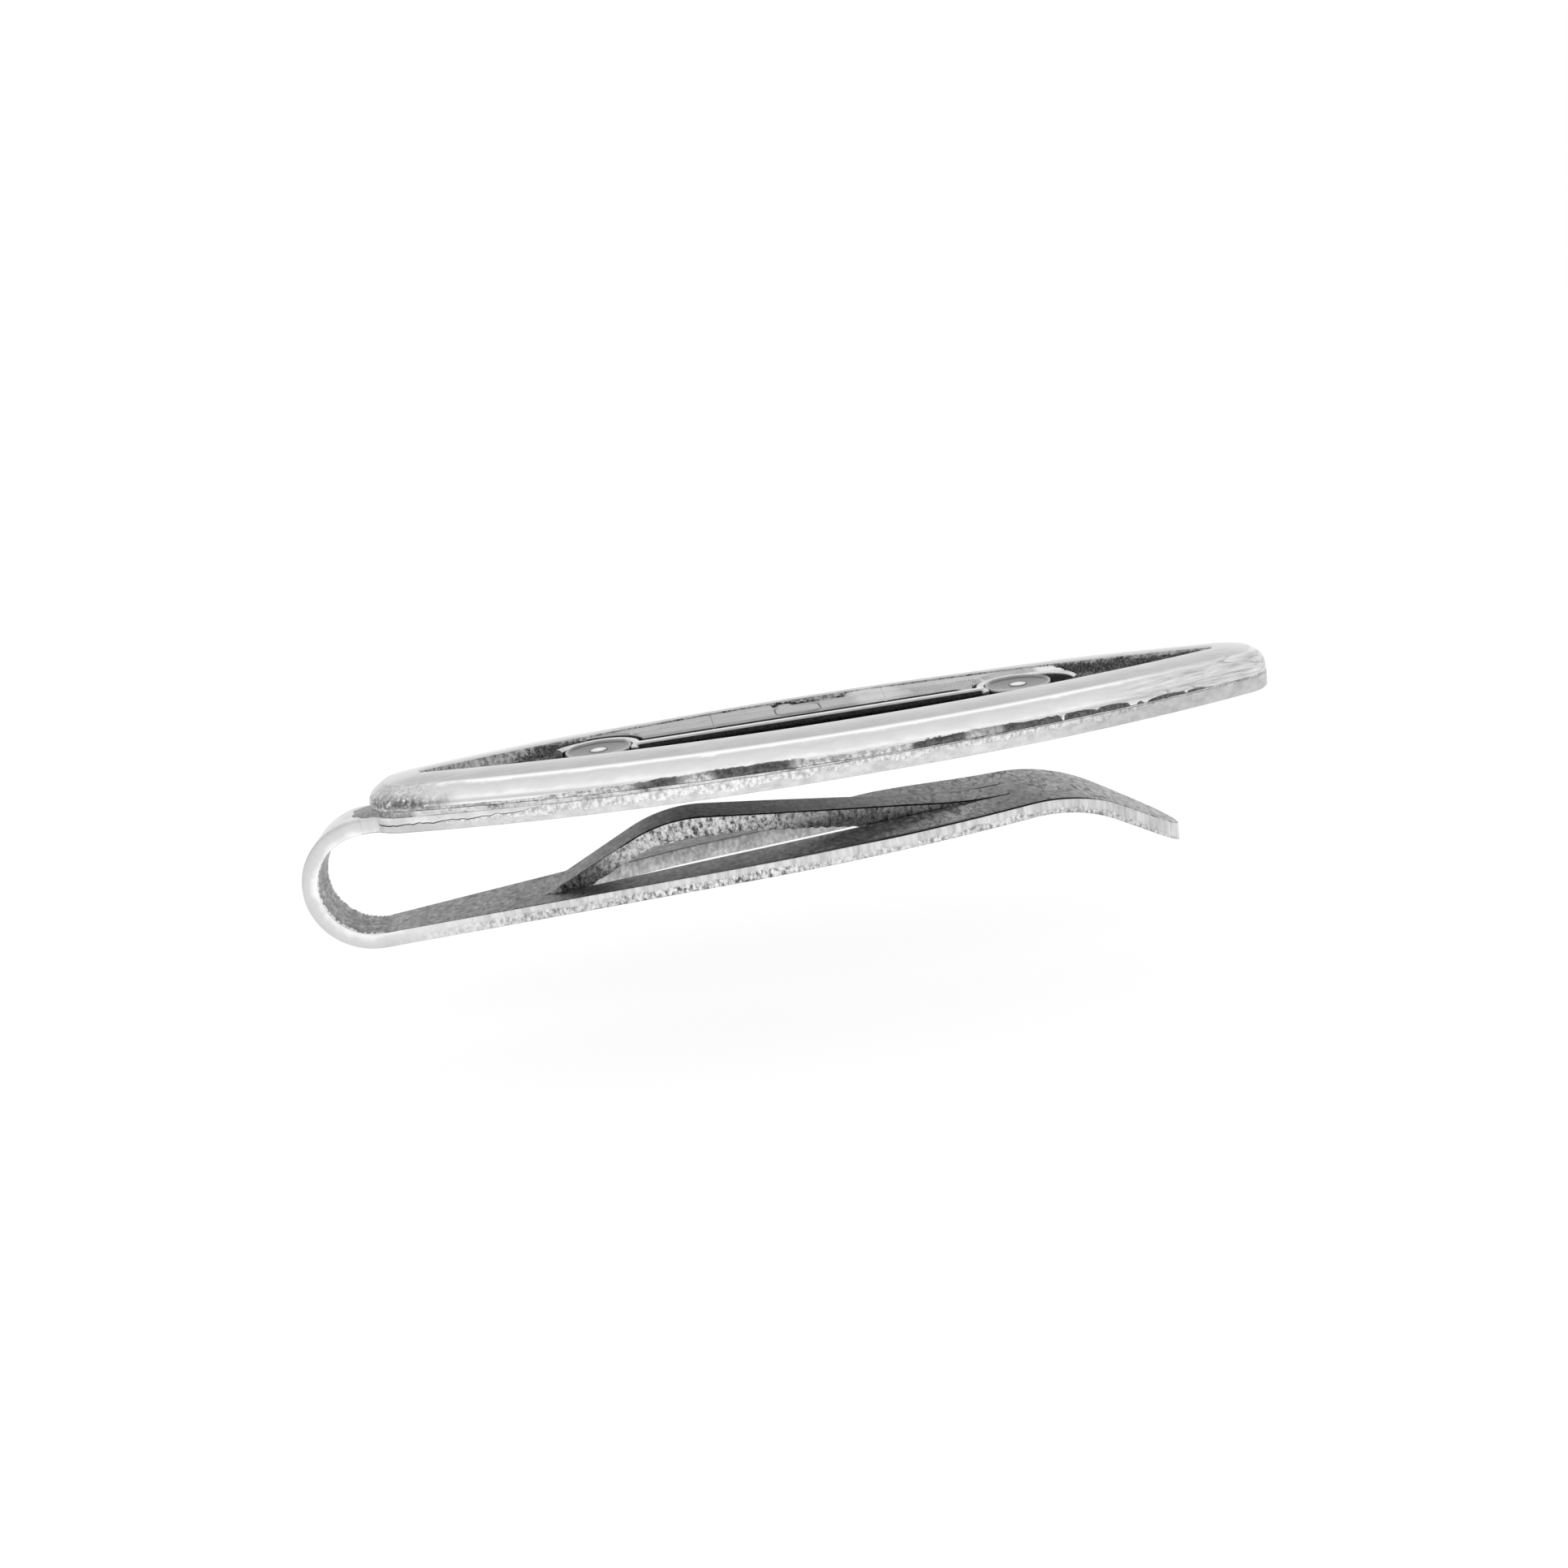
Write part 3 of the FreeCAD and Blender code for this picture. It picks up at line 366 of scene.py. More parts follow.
# Painted highlight along the near crease, left out on the far side and at the torched end.
crease_highlight_mark = by_row(smooth(row_inset, crease_inset - 0.2, crease_inset - 0.1)) * (1 - land_mark)
crease_highlight_mark = crease_highlight_mark * (1 - far_half) * past_torch
# Painted shade on the far land next to its crease, where the top rounds over.
far_crease_shade_mark = by_row(row_inset > crease_inset - 0.3) * far_half
far_crease_shade_mark = far_crease_shade_mark * (1 - by_row(smooth(row_inset, crease_inset + 0.05, crease_inset + 0.4)))
wall_top = by_row(np.arange(len(height)) == len(rim_rows) - 2)
past_middle = smooth(plate_points[..., 1], -0.1, 0.4).ravel()
bend_end = 1 - smooth(plate_points[..., 0], plate_x - 19.0, plate_x - 12.5).ravel()
worn_mark = recess_mark * past_middle * np.maximum(0.9 * bend_end, 0.62 * wall_top)
along_side = (plate_points[..., 0] - plate_x) * np.where(plate_points[..., 1] < 0, 1, -1)
band = np.interp(along_side, [-20, -15, -11, -8, -3.5, 1.5, 6, 8.6, 11.6, 14, 15, 16.5, 18, 21],
                 [0.16, 0.16, 0.3, 0.4, 0.42, 0.42, 0.4, 0.33, 0.3, 0.25, 0.14, 0.2, 0.12, 0.07])
dash_ends = np.array([8.0, 10.65, 10.85, 12.45, 12.6, 14.3, 14.75, 15.05, 15.4, 17.4, 17.6, 18.5])
dash_turns = np.stack([dash_ends - 0.1, dash_ends + 0.1], -1).ravel()
dashes = np.interp(along_side, dash_turns, np.tile([0, 1, 1, 0], len(dash_ends) // 2))
patchy = 1 - 0.35 * span(along_side, -2.5, -1.0, 3.0, 5.0)
patchy = patchy * (1 - 0.8 * smooth(along_side, 9.0, 10.5) * (1 - dashes))
# Band above the seam: partly residue, partly painted dark reflection.
residue_and_shade_mark = (np.clip(1.15 - height / band * 0.75, 0, 1) * patchy).ravel() * (1 - recess_mark)
burnt_mark = np.interp(
    along_side, [-17, -15.5, -10.5, -8.5, -6.8, -5.4, -3.6, -1.6, 2.9, 3.7, 5.2, 6.0, 7.6, 8.4, 18.4, 19.5],
    [0.5, 0.2, 0.4, 0.8, 0.3, 0.9, 1, 0.2, 0.2, 0.95, 0.9, 0.5, 0.45, 1, 0.95, 0.3]).ravel()
rise_mark = (height / crease_height).ravel()
front_plate = piece(
    "front_plate_polished", plate_points.reshape(-1, 3), grid_faces(*height.shape, True),
    {"recess": recess_mark, "land": land_mark, "rise": rise_mark, "crease": crease_highlight_mark,
     "stain": residue_and_shade_mark, "burnt": burnt_mark, "worn": worn_mark, "verge": far_crease_shade_mark}, silver_front, 50)
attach(front_plate, "front")
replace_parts(front_plate, "front_plate")

# Car body: the raised side of an open car, chased in satin silver and sweated into the window. It has a
# cockpit with a seat and a steering wheel, a door, a bonnet with louvres and a windscreen.
car_low, car_high = box_of("car_body")
rear_low, rear_high = box_of("rear_wheel")
nose_low, nose_high = box_of("front_wheel")
wing_low, wing_high = box_of("fender_strip")
window_floor = car_low[2]
wheel_radius = (rear_high[0] - rear_low[0]) / 2
wheel_y = (rear_high[1] + rear_low[1]) / 2
rear_x, nose_x = (rear_high[0] + rear_low[0]) / 2, (nose_high[0] + nose_low[0]) / 2
wing_outer = wing_high[1] - wheel_y
wing_inner = wing_outer - 0.42
arch_radius = wing_outer + 0.16
sill_y = car_low[1]
roof_radius = 64.81
body_height = car_high[2] - window_floor


def satin_silver():
    """Satin silver, brighter where it stands proud, with dark oxide left in everything that is sunk, and
    painted shade on its walls and along lower edges.
    """
    material, shader, place = metal("satin_silver")
    sunk, shine = place.mark("sunk"), place.mark("shine")
    cloud = place.noise(1.6, 4.0, 0.6)
    grain = place.noise(9.0, 4.0, 0.65)
    satin = (cloud * 0.6 + grain * 0.4).grey((0.3, 0.72), (0.5, 0.92), (0.66, 1))
    oxide = grain.grey((0.36, 0.01), (0.6, 0.035))
    # Dark where the mark says: oxide in hollows, and painted shade on walls and along lower edges.
    dark = (sunk + (grain - 0.5) * 0.3).step(0.25, 0.75)
    coat(shader, Base_Color=dark.blend(satin * shine, oxide), Roughness=0.22 + grain * 0.14 + dark * 0.2,
         Normal=(cloud * 0.6 + grain * 0.4).bump(0.4, 0.00003))
    return material


satin = satin_silver()


def relief(name, x, y, top, sunk, shine, wall_oxide_and_shade=1.0):
    """Raised piece over a plan grid, with upright walls down to the window's floor and a flat back.

    The grid's border is doubled twice: one copy a hair under the edge, and the outer one on the floor, so
    the walls stand upright. They are painted dark, oxide and painted shade, as much as the last value says.
    """
    wall_oxide_and_shade, shine = (np.broadcast_to(part, x.shape) for part in (wall_oxide_and_shade, shine))
    x, y, wall_oxide_and_shade, shine = (np.pad(part, 2, mode="edge") for part in (x, y, wall_oxide_and_shade, shine))
    hair_under = np.pad(0 * top, 1, constant_values=0.05)
    top = np.pad(np.pad(top, 1, mode="edge") - hair_under, 1, constant_values=window_floor)
    border = np.pad(0 * sunk, 2, constant_values=1)
    sunk = np.maximum(np.pad(sunk, 2, mode="edge"), border * wall_oxide_and_shade)
    back = np.full(top.shape, window_floor)
    upper, under = (np.stack([x, y, z], -1).reshape(-1, 3) for z in (top, back))
    faces = grid_faces(*x.shape, False)
    marks = {"sunk": np.concatenate([sunk.ravel(), np.ones(sunk.size)]), "shine": np.tile(shine.ravel(), 2)}
    points = np.concatenate([upper, under])
    made = piece(name, points, np.concatenate([faces, faces[:, ::-1] + x.size]), marks, satin)
    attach(made, "front")
    return made


def rounded(distance, radius, rise):
    """Height of a rounded edge at a distance from it: a quarter circle up to the rise."""
    near = np.clip(radius - distance, 0, radius)
    return rise - radius + np.sqrt(radius**2 - near**2)


def arch_at(x, hub, radius):
    """Height of a round arch over a hub, or far below where the arch doesn't reach."""
    inside = radius**2 - (x - hub)**2
    return np.where(inside > 0, wheel_y + np.sqrt(np.maximum(inside, 0)), -99)


def groove(distance, width):
    """Soft groove, 1 along a line and 0 a few widths off it."""
    return np.exp(-(distance / width)**2)


def frame_line(x, y, middle_x, middle_y, half_x, half_y, corner):
    """Distance from the outline of a rectangle with round corners."""
    out_x, out_y = np.abs(x - middle_x) - half_x + corner, np.abs(y - middle_y) - half_y + corner
    outside = np.hypot(np.maximum(out_x, 0), np.maximum(out_y, 0))
    return np.abs(outside + np.minimum(np.maximum(out_x, out_y), 0) - corner)


def spread(count):
    """Shares from 0 to 1, crowded towards both ends."""
    return (1 - np.cos(np.linspace(0, np.pi, count))) / 2


nose_middle, nose_half, nose_round = 1.6, 0.45, 0.55
nose_tip = car_high[0] + 0.5
body_x = car_low[0] + (nose_tip - car_low[0]) * np.linspace(0, 1, 440)[:, None]
arches = np.maximum(arch_at(body_x, rear_x, arch_radius), arch_at(body_x, nose_x, arch_radius))
lower = np.maximum(arches, sill_y)
windscreen = span(body_x, plate_x + 1.5, plate_x + 2.2, plate_x + 3.4, plate_x + 4.6)
roof = car_high[1] - roof_radius + np.sqrt(roof_radius**2 - (body_x - plate_x)**2) + 0.2 * windscreen
into_round = np.maximum(body_x - nose_tip + nose_round, 0) / nose_round
nose_taper = nose_half * np.sqrt(np.clip(1 - into_round**2, 0, 1))
lower = np.where(body_x > nose_x, np.maximum(lower, nose_middle - nose_taper), lower)
nose_roof = np.maximum(nose_middle + nose_taper, roof * (nose_taper >= nose_half))
roof = np.where(body_x > nose_x, np.minimum(roof, nose_roof), roof)
body_y = lower + (roof - lower) * spread(40)
body_x = np.broadcast_to(body_x, body_y.shape)
from_edge = np.minimum(body_y - lower, roof - body_y)
from_edge = np.minimum(from_edge, np.minimum(body_x - car_low[0], nose_tip - body_x))
car_x = body_x - plate_x
in_cockpit = span(car_x, -2.45, -2.25, 1.45, 1.7) * smooth(body_y, 1.95, 2.15)
seat = in_cockpit * span(car_x, -2.2, -1.9, -1.5, -1.2)
steering = in_cockpit * groove(np.hypot(car_x - 0.6, (body_y - 2.55) * 1.3) - 0.42, 0.07)
belt = groove(roof - body_y - 1.25, 0.07) * (1 - in_cockpit)
slats = np.cos((car_x + 0.25 * body_y) * 2 * np.pi / 0.42)**8
slats = slats * span(car_x, 4.6, 4.8, 8.2, 8.4) * span(body_y, 0.15, 0.3, 1.35, 1.5)
seams = np.maximum.reduce([
    groove(frame_line(car_x, body_y, -1.2, 0.95, 1.15, 0.85, 0.35), 0.05),
    0.7 * groove(car_x + 5.6, 0.05), 0.6 * groove(car_x - 3.3 - 0.1 * (body_y - 1), 0.05),
    0.5 * groove(car_x - 11.3, 0.05), 0.8 * slats])
dip = 0.16 * in_cockpit - 0.1 * seat - 0.08 * steering + 0.07 * seams + 0.03 * (1 - belt)
body_top = window_floor + rounded(from_edge, 0.3, body_height) - dip
body_oxide_and_shade = np.maximum(seams * 0.8, 1.2 * in_cockpit * (1 - in_cockpit) + 0.05 * in_cockpit * (1 - seat))
under_line = 1 - 0.75 * smooth(car_x, 6.7, 7.3) - 0.25 * smooth(car_x, 11.4, 11.8)
# Painted shade along the body's lower edge by the board and wings.
body_oxide_and_shade = np.maximum(body_oxide_and_shade, 0.95 * (1 - smooth(body_y - lower, 0.02, 0.16)) * under_line)
body_shine = 0.4 + 0.12 * smooth(car_x, 2.0, 8.0) + 0.3 * belt
body_shine = body_shine + 0.4 * smooth(car_x, 11.2, 11.7) + 0.2 * windscreen
car_body = relief("car_body_chased", body_x, body_y, body_top, body_oxide_and_shade, body_shine)
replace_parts(car_body, "car_body")

# Wings and running board: one bright strip of satin silver that arches over both wheels and runs straight
# between them. A tread line is chased along the board, and the strip is sweated to the window's floor.
skirt_y, board_bottom, board_top = wheel_y - 0.35, wing_low[1], wheel_y + 0.2
rear_end, rear_flare = math.radians(157), 0.3


def strip_edge(radius, board_y, flare, count=60):
    """One edge of the strip: an arc over the rear wheel, the board's level edge and an arc over the front.

    The rear arc starts a little above the hub and stands off the tyre there. The front arc's radius grows
    by the flare as it comes down ahead of the wheel.
    """
    skirt, board = math.asin((skirt_y - wheel_y) / radius), math.asin((board_y - wheel_y) / radius)
    over_rear = np.linspace(rear_end, board, count)
    over_front = np.linspace(math.pi - board, skirt, count)
    trailing = radius + rear_flare * smooth(over_rear, 2.0, rear_end)
    rear_arc = np.stack([rear_x + trailing * np.cos(over_rear), wheel_y + trailing * np.sin(over_rear)], -1)
    flared = radius + flare * smooth(-over_front, -1.3, -0.3)
    front_arc = np.stack([nose_x + flared * np.cos(over_front), wheel_y + flared * np.sin(over_front)], -1)
    share = np.linspace(0, 1, 4 * count)[1:-1, None]
    return np.concatenate([rear_arc, rear_arc[-1] + (front_arc[0] - rear_arc[-1]) * share, front_arc])


inner_edge = strip_edge(wing_inner, board_bottom, 1.1)[:, None]
outer_edge = strip_edge(wing_outer, board_top, 0.95)[:, None]
strip_share = spread(14)[None, :, None]
strip_plan = inner_edge + (outer_edge - inner_edge) * strip_share
strip_width = np.linalg.norm(outer_edge - inner_edge, axis=-1)
strip_from_edge = np.minimum(strip_share, 1 - strip_share)[..., 0] * strip_width
strip_top = window_floor + rounded(strip_from_edge, 0.18, wing_high[2] - window_floor)
on_board = span(strip_plan[..., 0], rear_x + 1.7, rear_x + 2.2, nose_x - 2.2, nose_x - 1.7)
up_board = np.broadcast_to(strip_share[..., 0], on_board.shape)
tread = on_board * groove(up_board - 0.42, 0.05)
# Painted shade: the board's lower edge and its walls are painted dark.
brink = on_board * (1 - smooth(up_board, 0.08, 0.3))
strip_top = strip_top - 0.02 * tread - 0.12 * on_board * (1 - smooth(up_board, 0.0, 0.4))
strip_shine = 0.8 + on_board * (0.18 - 0.5 * (1 - smooth(up_board, 0.34, 0.46)))
fender_strip = relief(
    "wing_strip_chased", strip_plan[..., 0], strip_plan[..., 1], strip_top, np.maximum(0.3 * tread, brink),
    strip_shine, 0.3 + 0.7 * on_board)
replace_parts(fender_strip, "fender_strip")

# Wheels: disc wheels of satin silver, each turned in one piece and sweated to the window's floor. They
# have a narrow rounded tyre, a smooth dished disc and a domed hub.
wheel_top = rear_high[2] - window_floor
tyre, disc = wheel_radius, wheel_radius - 0.2
wheel_profile = np.array([
    (0, 0, 1, 0.3), (tyre, 0, 1, 0.3), (tyre, wheel_top - 0.3, 0.9, 0.4),
    (tyre - 0.01, wheel_top - 0.08, 0.2, 0.6), (tyre - 0.04, wheel_top - 0.02, 0, 0.5),
    (tyre - 0.08, wheel_top, 0, 0.42), (tyre - 0.13, wheel_top - 0.02, 0, 0.34),
    (tyre - 0.16, wheel_top - 0.07, 0.3, 0.26), (disc, wheel_top - 0.1, 0.3, 0.22),
    (disc - 0.06, wheel_top - 0.1, 0.1, 0.22), (disc - 0.3, wheel_top - 0.11, 0, 0.2),
    (0.8, wheel_top - 0.13, 0, 0.18), (0.6, wheel_top - 0.145, 0.05, 0.2),
    (0.5, wheel_top - 0.155, 0.3, 0.2), (0.43, wheel_top - 0.16, 0.75, 0.3),
    (0.4, wheel_top - 0.13, 0.3, 0.6), (0.35, wheel_top - 0.105, 0, 0.95),
    (0.24, wheel_top - 0.09, 0, 1), (0.1, wheel_top - 0.085, 0, 1), (0, wheel_top - 0.084, 0, 1),
])


def turned(name, profile, middle, count=96):
    """Profile of radius, height, oxide and painted shade, and shine, turned round an upright axis that
    stands on the floor.
    """
    turn = np.linspace(0, 2 * math.pi, count, endpoint=False)
    radius, rise, sunk, shine = (part[:, None] + 0 * turn for part in profile.T)
    x, y = middle[0] + radius * np.cos(turn), middle[1] + radius * np.sin(turn)
    points = np.stack([x, y, window_floor + rise], -1)
    marks = {"sunk": sunk.ravel(), "shine": shine.ravel()}
    made = piece(name, points.reshape(-1, 3), grid_faces(len(profile), count, True), marks, satin)
    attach(made, "front")
    return made


for node, hub_x in (("rear_wheel", rear_x), ("front_wheel", nose_x)):
    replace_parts(turned(f"{node}_turned", wheel_profile, (hub_x, wheel_y)), node)

# Headlamp: a short drum with a beaded rim and a domed glass, turned in the same satin silver as the
# wheels and sweated to the window's floor by the car's nose.
lamp_low, lamp_high = box_of("headlamp")
lamp_radius, lamp_top = (lamp_high[0] - lamp_low[0]) / 2, lamp_high[2] - window_floor
lamp_profile = np.array([
    (0, 0, 1, 0.3), (0.9 * lamp_radius, 0, 1, 0.3), (0.9 * lamp_radius, lamp_top - 0.34, 0.7, 0.5),
    (lamp_radius - 0.01, lamp_top - 0.3, 0.3, 0.8), (lamp_radius, lamp_top - 0.2, 0, 0.95),
    (lamp_radius - 0.02, lamp_top - 0.12, 0, 0.95), (lamp_radius - 0.06, lamp_top - 0.1, 0, 0.95),
    (lamp_radius - 0.09, lamp_top - 0.11, 0.3, 0.7), (0.18, lamp_top - 0.05, 0, 0.9),
    (0.1, lamp_top - 0.015, 0, 1), (0, lamp_top, 0, 1),
])
lamp_middle = (lamp_high + lamp_low) / 2
headlamp = turned("headlamp_turned", lamp_profile, lamp_middle[:2])
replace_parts(headlamp, "headlamp")

# Solder: a frosted grey layer that fills the wedge between the plate and the leaf. It is thick at the
# bend end, thins to a hairline where the two lie flat, and stands a little ragged along the seam.
solder_high, leaf_high = box_of("solder_layer")[1], box_of("back_leaf")[1]
leaf_tilt = math.radians(0.6)
level_from = plate_x + 1.5


def leaf_rise(x):
    """Height of the leaf against its level part: it drops in a straight line towards the bend."""
    return -np.maximum(level_from - x, 0) * math.tan(leaf_tilt)


def frosted_solder():
    """Frosted solder, pitted and unevenly grey, burnt dark by the bend, with a painted shadow along the
    spill's ragged lower edge.
    """
    material, shader, place = metal("frosted_solder")
    spill, drip = place.mark("spill"), place.mark("drip")
    pits = place.noise(6.0, 5.0, 0.7)
    patch = place.stretch(0.5, 1, 1).noise(1.3)
    burnt = 1 - (place.part(0) + patch * 3.0).step(plate_x - 20.5, plate_x - 18.0)
    color = (pits * 0.6 + patch * 0.5).grey((0.4, 0.2), (0.52, 0.62), (0.7, 0.92))
    dark = pits.grey((0.35, 0.18), (0.5, 0.32), (0.65, 0.46))
    color = burnt.blend(color, dark)
    color = spill.blend(color, patch.grey((0.35, 0.7), (0.6, 0.9)))
    # Painted shadow along the spill's lower edge.
    color = drip.step(0.4, 0.7).blend(color, grey(0.12))
    coat(shader, Base_Color=color, Roughness=0.3 + pits * 0.25, Normal=pits.bump(0.5, 0.00005))
    return material


solder_silver = frosted_solder()
solder_rows = np.array([
    (1, 1, 0), (0, 1, 0), (0, 0.7, 0.1), (0, 0.42, 0.38), (0, 0.16, 0.8), (0, 0, 1), (1, 0, 0)])
ragged = 0.022 + 0.022 * ripple(outline[:, 0], outline[:, 1], 1.1, 8)
run_out = 1.0 + 0.12 * ripple(outline[:, 0], outline[:, 1], 0.8, 9)
run_out = run_out * (1 - smooth(np.abs(outline[:, 1]), 0.6, 1.7)) * (outline[:, 0] < 0)
solder_edge = outline * (1 - ragged / plate_half_width)[:, None]
solder_plan = to_middle(solder_edge, solder_rows[:, 0])
solder_plan = solder_plan - solder_rows[:, 2:, None] * run_out[:, None] * (1, 0)
solder_bottom = leaf_high[2] + leaf_rise(solder_plan[..., 0] + plate_x)
solder_height = solder_bottom + (solder_high[2] - solder_bottom) * solder_rows[:, 1:2]
solder_points = np.concatenate([solder_plan + (plate_x, 0), solder_height[..., None]], -1)
solder_marks = {"spill": np.zeros(solder_height.size), "drip": np.zeros(solder_height.size)}
solder_layer = piece(
    "solder_bead", solder_points.reshape(-1, 3), grid_faces(*solder_height.shape, True), solder_marks,
    solder_silver)
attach(solder_layer, "front")
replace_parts(solder_layer, "solder_layer")

# Back leaf: sheet silver cut to the plate's long sides, with its sheared edge showing under the seam.
# It narrows to the neck at the bend and drops a little towards it.
gauge = 0.78
neck_half = 1.45
bend_radius = 2.56
pivot = np.array(frame["joints"][0]["pos_m"]) / MILLIMETRE
bend_x, bend_z = pivot[0] + bend_radius + gauge / 2, pivot[2]


def sheet_silver(name, bent, burnish, fracture, streaks, broken_share, worn_end):
    """Sheet silver: painted dark on its inner face as painted shade, brighter outside, and sheared at its
    edges.

    A sheared edge is burnished and streaked on one side and broken, pitted metal on the other, and smooth
    by the bend, with a painted highlight towards its inner side. These greys are given for the darkest and
    the lightest places, then the stretch of the streaks, the share that is broken and how much the open end
    is dulled. The inner face's painted shade is lighter at the bend and towards the tip, with fine crazing.
    The brink mark is 1 on a line that is left dark, and below 0 where the face is painted lighter, as
    painted light. The torn mark is 1 on dark, scratched metal, a little over 0 where a wall is rough from
    top to bottom, and below 0 where it is calm.
    """
    material, shader, place = metal(name)
    wall, inner, depth, brink, torn = (
        place.mark(mark) for mark in ("wall", "inner", "depth", "brink", "torn"))
    along = place.part(0)
    cloud = place.noise(0.9, 5.0, 0.6)
    speck = place.stretch(0.7, 0.5, 1.0).noise(5.0, 4.0, 0.65)
    worm = abs(place.stretch(1.0, 0.3, 0.6).noise(2.2, 1.5, 0.5) - 0.5)
    strokes = (1 - worm.step(0.02, 0.06)) * cloud.step(0.46, 0.52)
    crazing = 1 - strokes * (0.2 + along.step(plate_x - 1.0, plate_x + 6.0) * 0.5)
    # Painted shade: the inner face is painted dark, lighter at the bend and towards the tip.
    inner_shade_ramp = (along * 0.02 + 0.5).grey(
        (0.0, 0.3), (0.17, 0.29), (0.3, 0.21), (0.5, 0.19), (0.64, 0.24), (0.88, 0.5))
    texture = (cloud * 0.3 + speck * 0.7).grey((0.36, 0.3), (0.46, 0.8), (0.54, 1.12), (0.66, 1.8))
    # Painted light: where the brink mark is below 0, the inner face is painted lighter.
    painted_light = (0 - brink).step(0.0, 1.0)
    # Inner face: painted shade with crazing, lifted by painted light where the brink mark is below 0.
    inner_shaded = inner_shade_ramp * texture * crazing * (1 + painted_light * 1.3)
    outside = (cloud * 0.6 + speck * 0.4).grey((0.3, 0.55), (0.55, 0.75), (0.75, 0.88))
    streak = place.stretch(*streaks).noise(1.0, 4.0, 0.7)
    pit = place.stretch(1.5, 1.5, 1.0).noise(3.6, 4.0, 0.65)
    flexed = along.step(bend_x - 0.5, bend_x + 9.0)
    tip_end = along.step(plate_x + 13.0, plate_x + 17.0)
    settled = along.step(plate_x - 4.5, plate_x - 1.0)
    broken = broken_share + torn * 3.5 - depth - settled * 0.2 - tip_end * 0.3
    broken = (broken + (cloud - 0.5) * 0.9 + (pit - 0.5) * 0.5).step(-0.05, 0.05) * flexed
    sheared = streak.grey((0.32, burnish[0]), (0.62, burnish[1]))
    # Painted highlight: the bend's edge is painted lighter towards its inner side.
    bend_edge_highlight = (depth * 0.5 + cloud * 0.5).grey((0.2, 0.6), (0.55, 0.72), (0.72, 0.98))
    bend_edge_highlight = along.step(bend_x, bend_x + 2.5).blend(bend_edge_highlight, cloud.grey((0.3, bent[0]), (0.7, bent[1])))
    smooth_edge = flexed.blend(bend_edge_highlight, sheared)
    crumbled = pit.grey((0.38, fracture[0]), (0.48, 0.5 * (fracture[0] + fracture[1])), (0.58, fracture[1]))
    mild_low = 0.2 + 0.5 * fracture[0]
    mild = pit.grey((0.36, mild_low), (0.46, 0.5 * mild_low + 0.4), (0.6, 0.93 * fracture[1]))
    rough_edge = (along.step(plate_x - 12.0, plate_x - 8.0) * (1 - settled)).blend(mild, crumbled)
    worn_down = 1 - along.step(plate_x + 8, plate_x + 15) * worn_end
    edge_tone = broken.blend(smooth_edge, rough_edge) * worn_down
    edge_tone = edge_tone * (1 - (1 - depth.step(0.02, 0.1)) * flexed * 0.25)
    calm = (pit * 0.6 + cloud * 0.4).grey((0.36, 0.3), (0.5, 0.46), (0.64, 0.7))
    edge_tone = (0 - torn).step(0.0, 1.0).blend(edge_tone, calm)
    color = wall.blend(inner.blend(outside, inner_shaded), edge_tone)
    scratched = (streak * 0.4 + pit * 0.6).grey((0.4, 0.02), (0.46, 0.1), (0.58, 0.24))
    color = (torn * wall).blend(color, scratched)
    color = brink.step(0.55, 0.8).blend(color, grey(0.012))
    roughness = 0.22 + speck * 0.18 + inner * 0.12
    height = cloud * 0.5 + speck * 0.4 + wall * flexed * (streak * 0.6 + broken * pit * 2.5)
    coat(shader, Base_Color=color, Roughness=roughness, Normal=height.bump(0.5, 0.00005))
    return material


